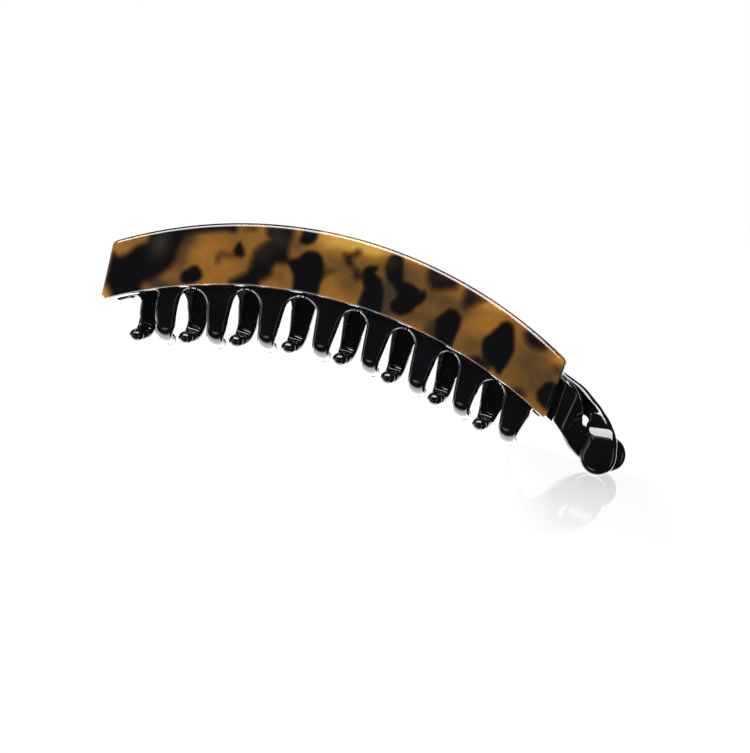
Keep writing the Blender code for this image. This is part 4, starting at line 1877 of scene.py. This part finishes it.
@dataclass(frozen=True)
class Paper:
    """The white floor. At a low angle a strip of it mirrors the thumb pads faintly. The strip runs
    from the pads towards the place of the photograph's camera and fades at its sides and ends."""

    radius: float = 4.0
    rings: int = 8
    around: int = 96
    seen: float = 1.03
    mirror: float = 0.36
    strip_turn: float = View.azimuth
    strip_middle: float = 0.056
    strip_half: tuple = (0.022, 0.011)
    strip_front: tuple = (-0.2, 0.0)
    strip_back: tuple = (0.012, 0.03)
    mirror_facing: tuple = (0.8, 0.9)
    polish: float = 0.05

    def strip(self, nodes: Nodes) -> Socket:
        """Mask the strip that mirrors: by x cos(turn) + y sin(turn) across it, and by y along it.

        Args:
            nodes: The floor's nodes.

        Returns:
            The mask's socket.
        """
        place = nodes.add("ShaderNodeTexCoord").outputs["Object"]
        split = nodes.add("ShaderNodeSeparateXYZ")
        nodes.join(place, split.inputs["Vector"])
        across = nodes.add("ShaderNodeVectorMath", operation="DOT_PRODUCT")
        nodes.join(place, across.inputs[0])
        across.inputs[1].default_value = (math.cos(self.strip_turn), math.sin(self.strip_turn), 0.0)
        offset = nodes.combine("SUBTRACT", across.outputs["Value"], self.strip_middle)
        beside = nodes.spread(nodes.combine("ABSOLUTE", offset, 0.0), self.strip_half, (0.0, 1.0))
        before = nodes.spread(split.outputs["Y"], self.strip_front, (0.0, 1.0))
        behind = nodes.spread(split.outputs["Y"], self.strip_back, (1.0, 0.0))
        return nodes.combine("MULTIPLY", beside, nodes.combine("MULTIPLY", before, behind))

    def material(self, soft_light: float) -> bpy.types.Material:
        """Glowing paper, so that no shadow or corner shows.

        Polished faces see through it to the room, so that what they mirror depends only on where
        they face.

        Args:
            soft_light: How much it lights what isn't polished.

        Returns:
            The floor's material.
        """
        material = bpy.data.materials.new("white_floor")
        material.use_nodes = True
        tree = material.node_tree
        nodes = Nodes(tree)
        tree.nodes.remove(tree.nodes["Principled BSDF"])
        rays = nodes.add("ShaderNodeLightPath")
        glow = nodes.add("ShaderNodeEmission")
        strength = nodes.blend(rays.outputs["Is Camera Ray"], soft_light, self.seen)
        nodes.join(strength, glow.inputs["Strength"])
        polish = nodes.add("ShaderNodeBsdfGlossy")
        polish.inputs["Roughness"].default_value = self.polish
        facing = nodes.add("ShaderNodeLayerWeight")
        low_angle = nodes.spread(facing.outputs["Facing"], self.mirror_facing, (0.0, self.mirror))
        mirror = nodes.add("ShaderNodeMixShader")
        nodes.join(nodes.combine("MULTIPLY", low_angle, self.strip(nodes)), mirror.inputs[0])
        nodes.join(glow.outputs["Emission"], mirror.inputs[1])
        nodes.join(polish.outputs["BSDF"], mirror.inputs[2])
        clear = nodes.add("ShaderNodeBsdfTransparent")
        seen = nodes.add("ShaderNodeMixShader")
        nodes.join(rays.outputs["Is Glossy Ray"], seen.inputs[0])
        nodes.join(mirror.outputs["Shader"], seen.inputs[1])
        nodes.join(clear.outputs["BSDF"], seen.inputs[2])
        nodes.join(seen.outputs["Shader"], tree.nodes["Material Output"].inputs["Surface"])
        return material

    def build(self, soft_light: float) -> bpy.types.Object:
        """Make the round floor as rings of points, r (cos a, sin a).

        Args:
            soft_light: How much it lights what isn't polished.

        Returns:
            The floor.
        """
        radii = np.linspace(1.0, 0.0, self.rings + 1)[:-1, None] ** 2 * self.radius
        angle = np.linspace(0.0, 2.0 * math.pi, self.around, endpoint=False)[None, :]
        ring = np.stack([
            radii * np.cos(angle), radii * np.sin(angle), np.zeros((self.rings, self.around)),
        ], axis=-1).reshape(-1, 3)
        points = np.vstack([ring, np.zeros((1, 3))])
        pole_last = [1, 2, 0]
        fan = pole_fan(len(ring), (self.rings - 1) * self.around, self.around)[:, pole_last]
        faces = grid_quads(self.rings, self.around, closed=True).tolist() + fan.tolist()
        mesh = bpy.data.meshes.new("floor")
        mesh.from_pydata(points.tolist(), [], faces)
        mesh.materials.append(self.material(soft_light))
        floor = add_object("floor", mesh)
        return floor


@dataclass(frozen=True)
class Studio:
    """A plain white floor and white surround, lit softly, with the room that polish mirrors."""

    soft_light: float = 0.62
    white: float = 1.0
    paper: Paper = Paper()
    room: Room = Room()
    boxes: tuple = (
        SoftBox(
            "top_box", place=(-0.46, -0.36, 0.94), size=(1.54, 0.93), radiance=16.0,
            aim=(-0.46, 0.0, 0.02),
        ),
        SoftBox("key_box", place=(-0.5, -0.9, 0.8), size=(0.7, 0.7), radiance=1.2, reach=Reach.ALL),
    )

    def surround(self) -> None:
        """Make the world: white to the camera, evenly soft, and the room to polished faces."""
        world = bpy.data.worlds.new("surround")
        bpy.context.scene.world = world
        world.use_nodes = True
        nodes = Nodes(world.node_tree)
        background = world.node_tree.nodes["Background"]
        rays = nodes.add("ShaderNodeLightPath")
        mirrored = self.room.radiance(nodes)
        polished = nodes.blend(rays.outputs["Is Glossy Ray"], self.soft_light, mirrored)
        strength = nodes.blend(rays.outputs["Is Camera Ray"], polished, self.white)
        nodes.join(strength, background.inputs["Strength"])
        background.inputs["Color"].default_value = (1.0, 1.0, 1.0, 1.0)

    def build(self) -> None:
        """Make the floor, the surround and the lights, and show colours as they are."""
        self.paper.build(self.soft_light)
        self.surround()
        for box in self.boxes:
            box.build()
        bpy.context.scene.view_settings.view_transform = "Standard"
        LOG.info("built the studio")


def main() -> None:
    """Load the frame, build and dress every piece and set up the studio and the camera."""
    logging.basicConfig(level=logging.INFO, format="%(message)s")
    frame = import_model()
    wear = HandlingWear().build()
    black = GlossyBlack().build(wear)
    tortoise = TortoiseAcetate().build(wear)
    steel = SpringSteel().build(wear)
    jaws = (
        Jaw(
            Side.FRONT,
            teeth_mm=(
                (-47.4, 0.9), (-35.1, 3.2), (-22.9, 5.6), (-9.6, 7.0),
                (2.6, 6.7), (14.7, 5.1), (26.2, 2.9), (38.2, 0.1),
            ),
            arm=FRONT_ARM,
            tab_mm=((45.5, 9.9), (47.4, 9.2), (48.4, 17.9), (45.9, 19.3)),
            knuckles_mm=((10.5, 11.9), (18.7, 20.1)),
        ),
        Jaw(
            Side.REAR,
            teeth_mm=(
                (-54.4, 0.0), (-42.5, 2.6), (-30.3, 5.1), (-17.6, 7.0),
                (-4.9, 7.6), (7.3, 6.5), (19.3, 4.7), (31.0, 1.9),
            ),
            arm=REAR_ARM,
            tab_mm=((42.7, 10.3), (46.8, 10.3), (47.8, 17.9), (43.1, 20.1)),
            knuckles_mm=((12.2, 13.6), (17.0, 18.4)),
            ball_stretch=1.15,
            fan=0.5,
            crown=0.1,
        ),
    )
    for jaw in jaws:
        LOG.info("built %s", jaw.build(black).name)
    for side in Side:
        LOG.info("built %s", Plate(side, CHART).build(tortoise).name)
    HingeFittings().dress(frame["nodes"], steel)
    Studio().build()
    CHART.view.camera()


if __name__ == "__main__":
    main()
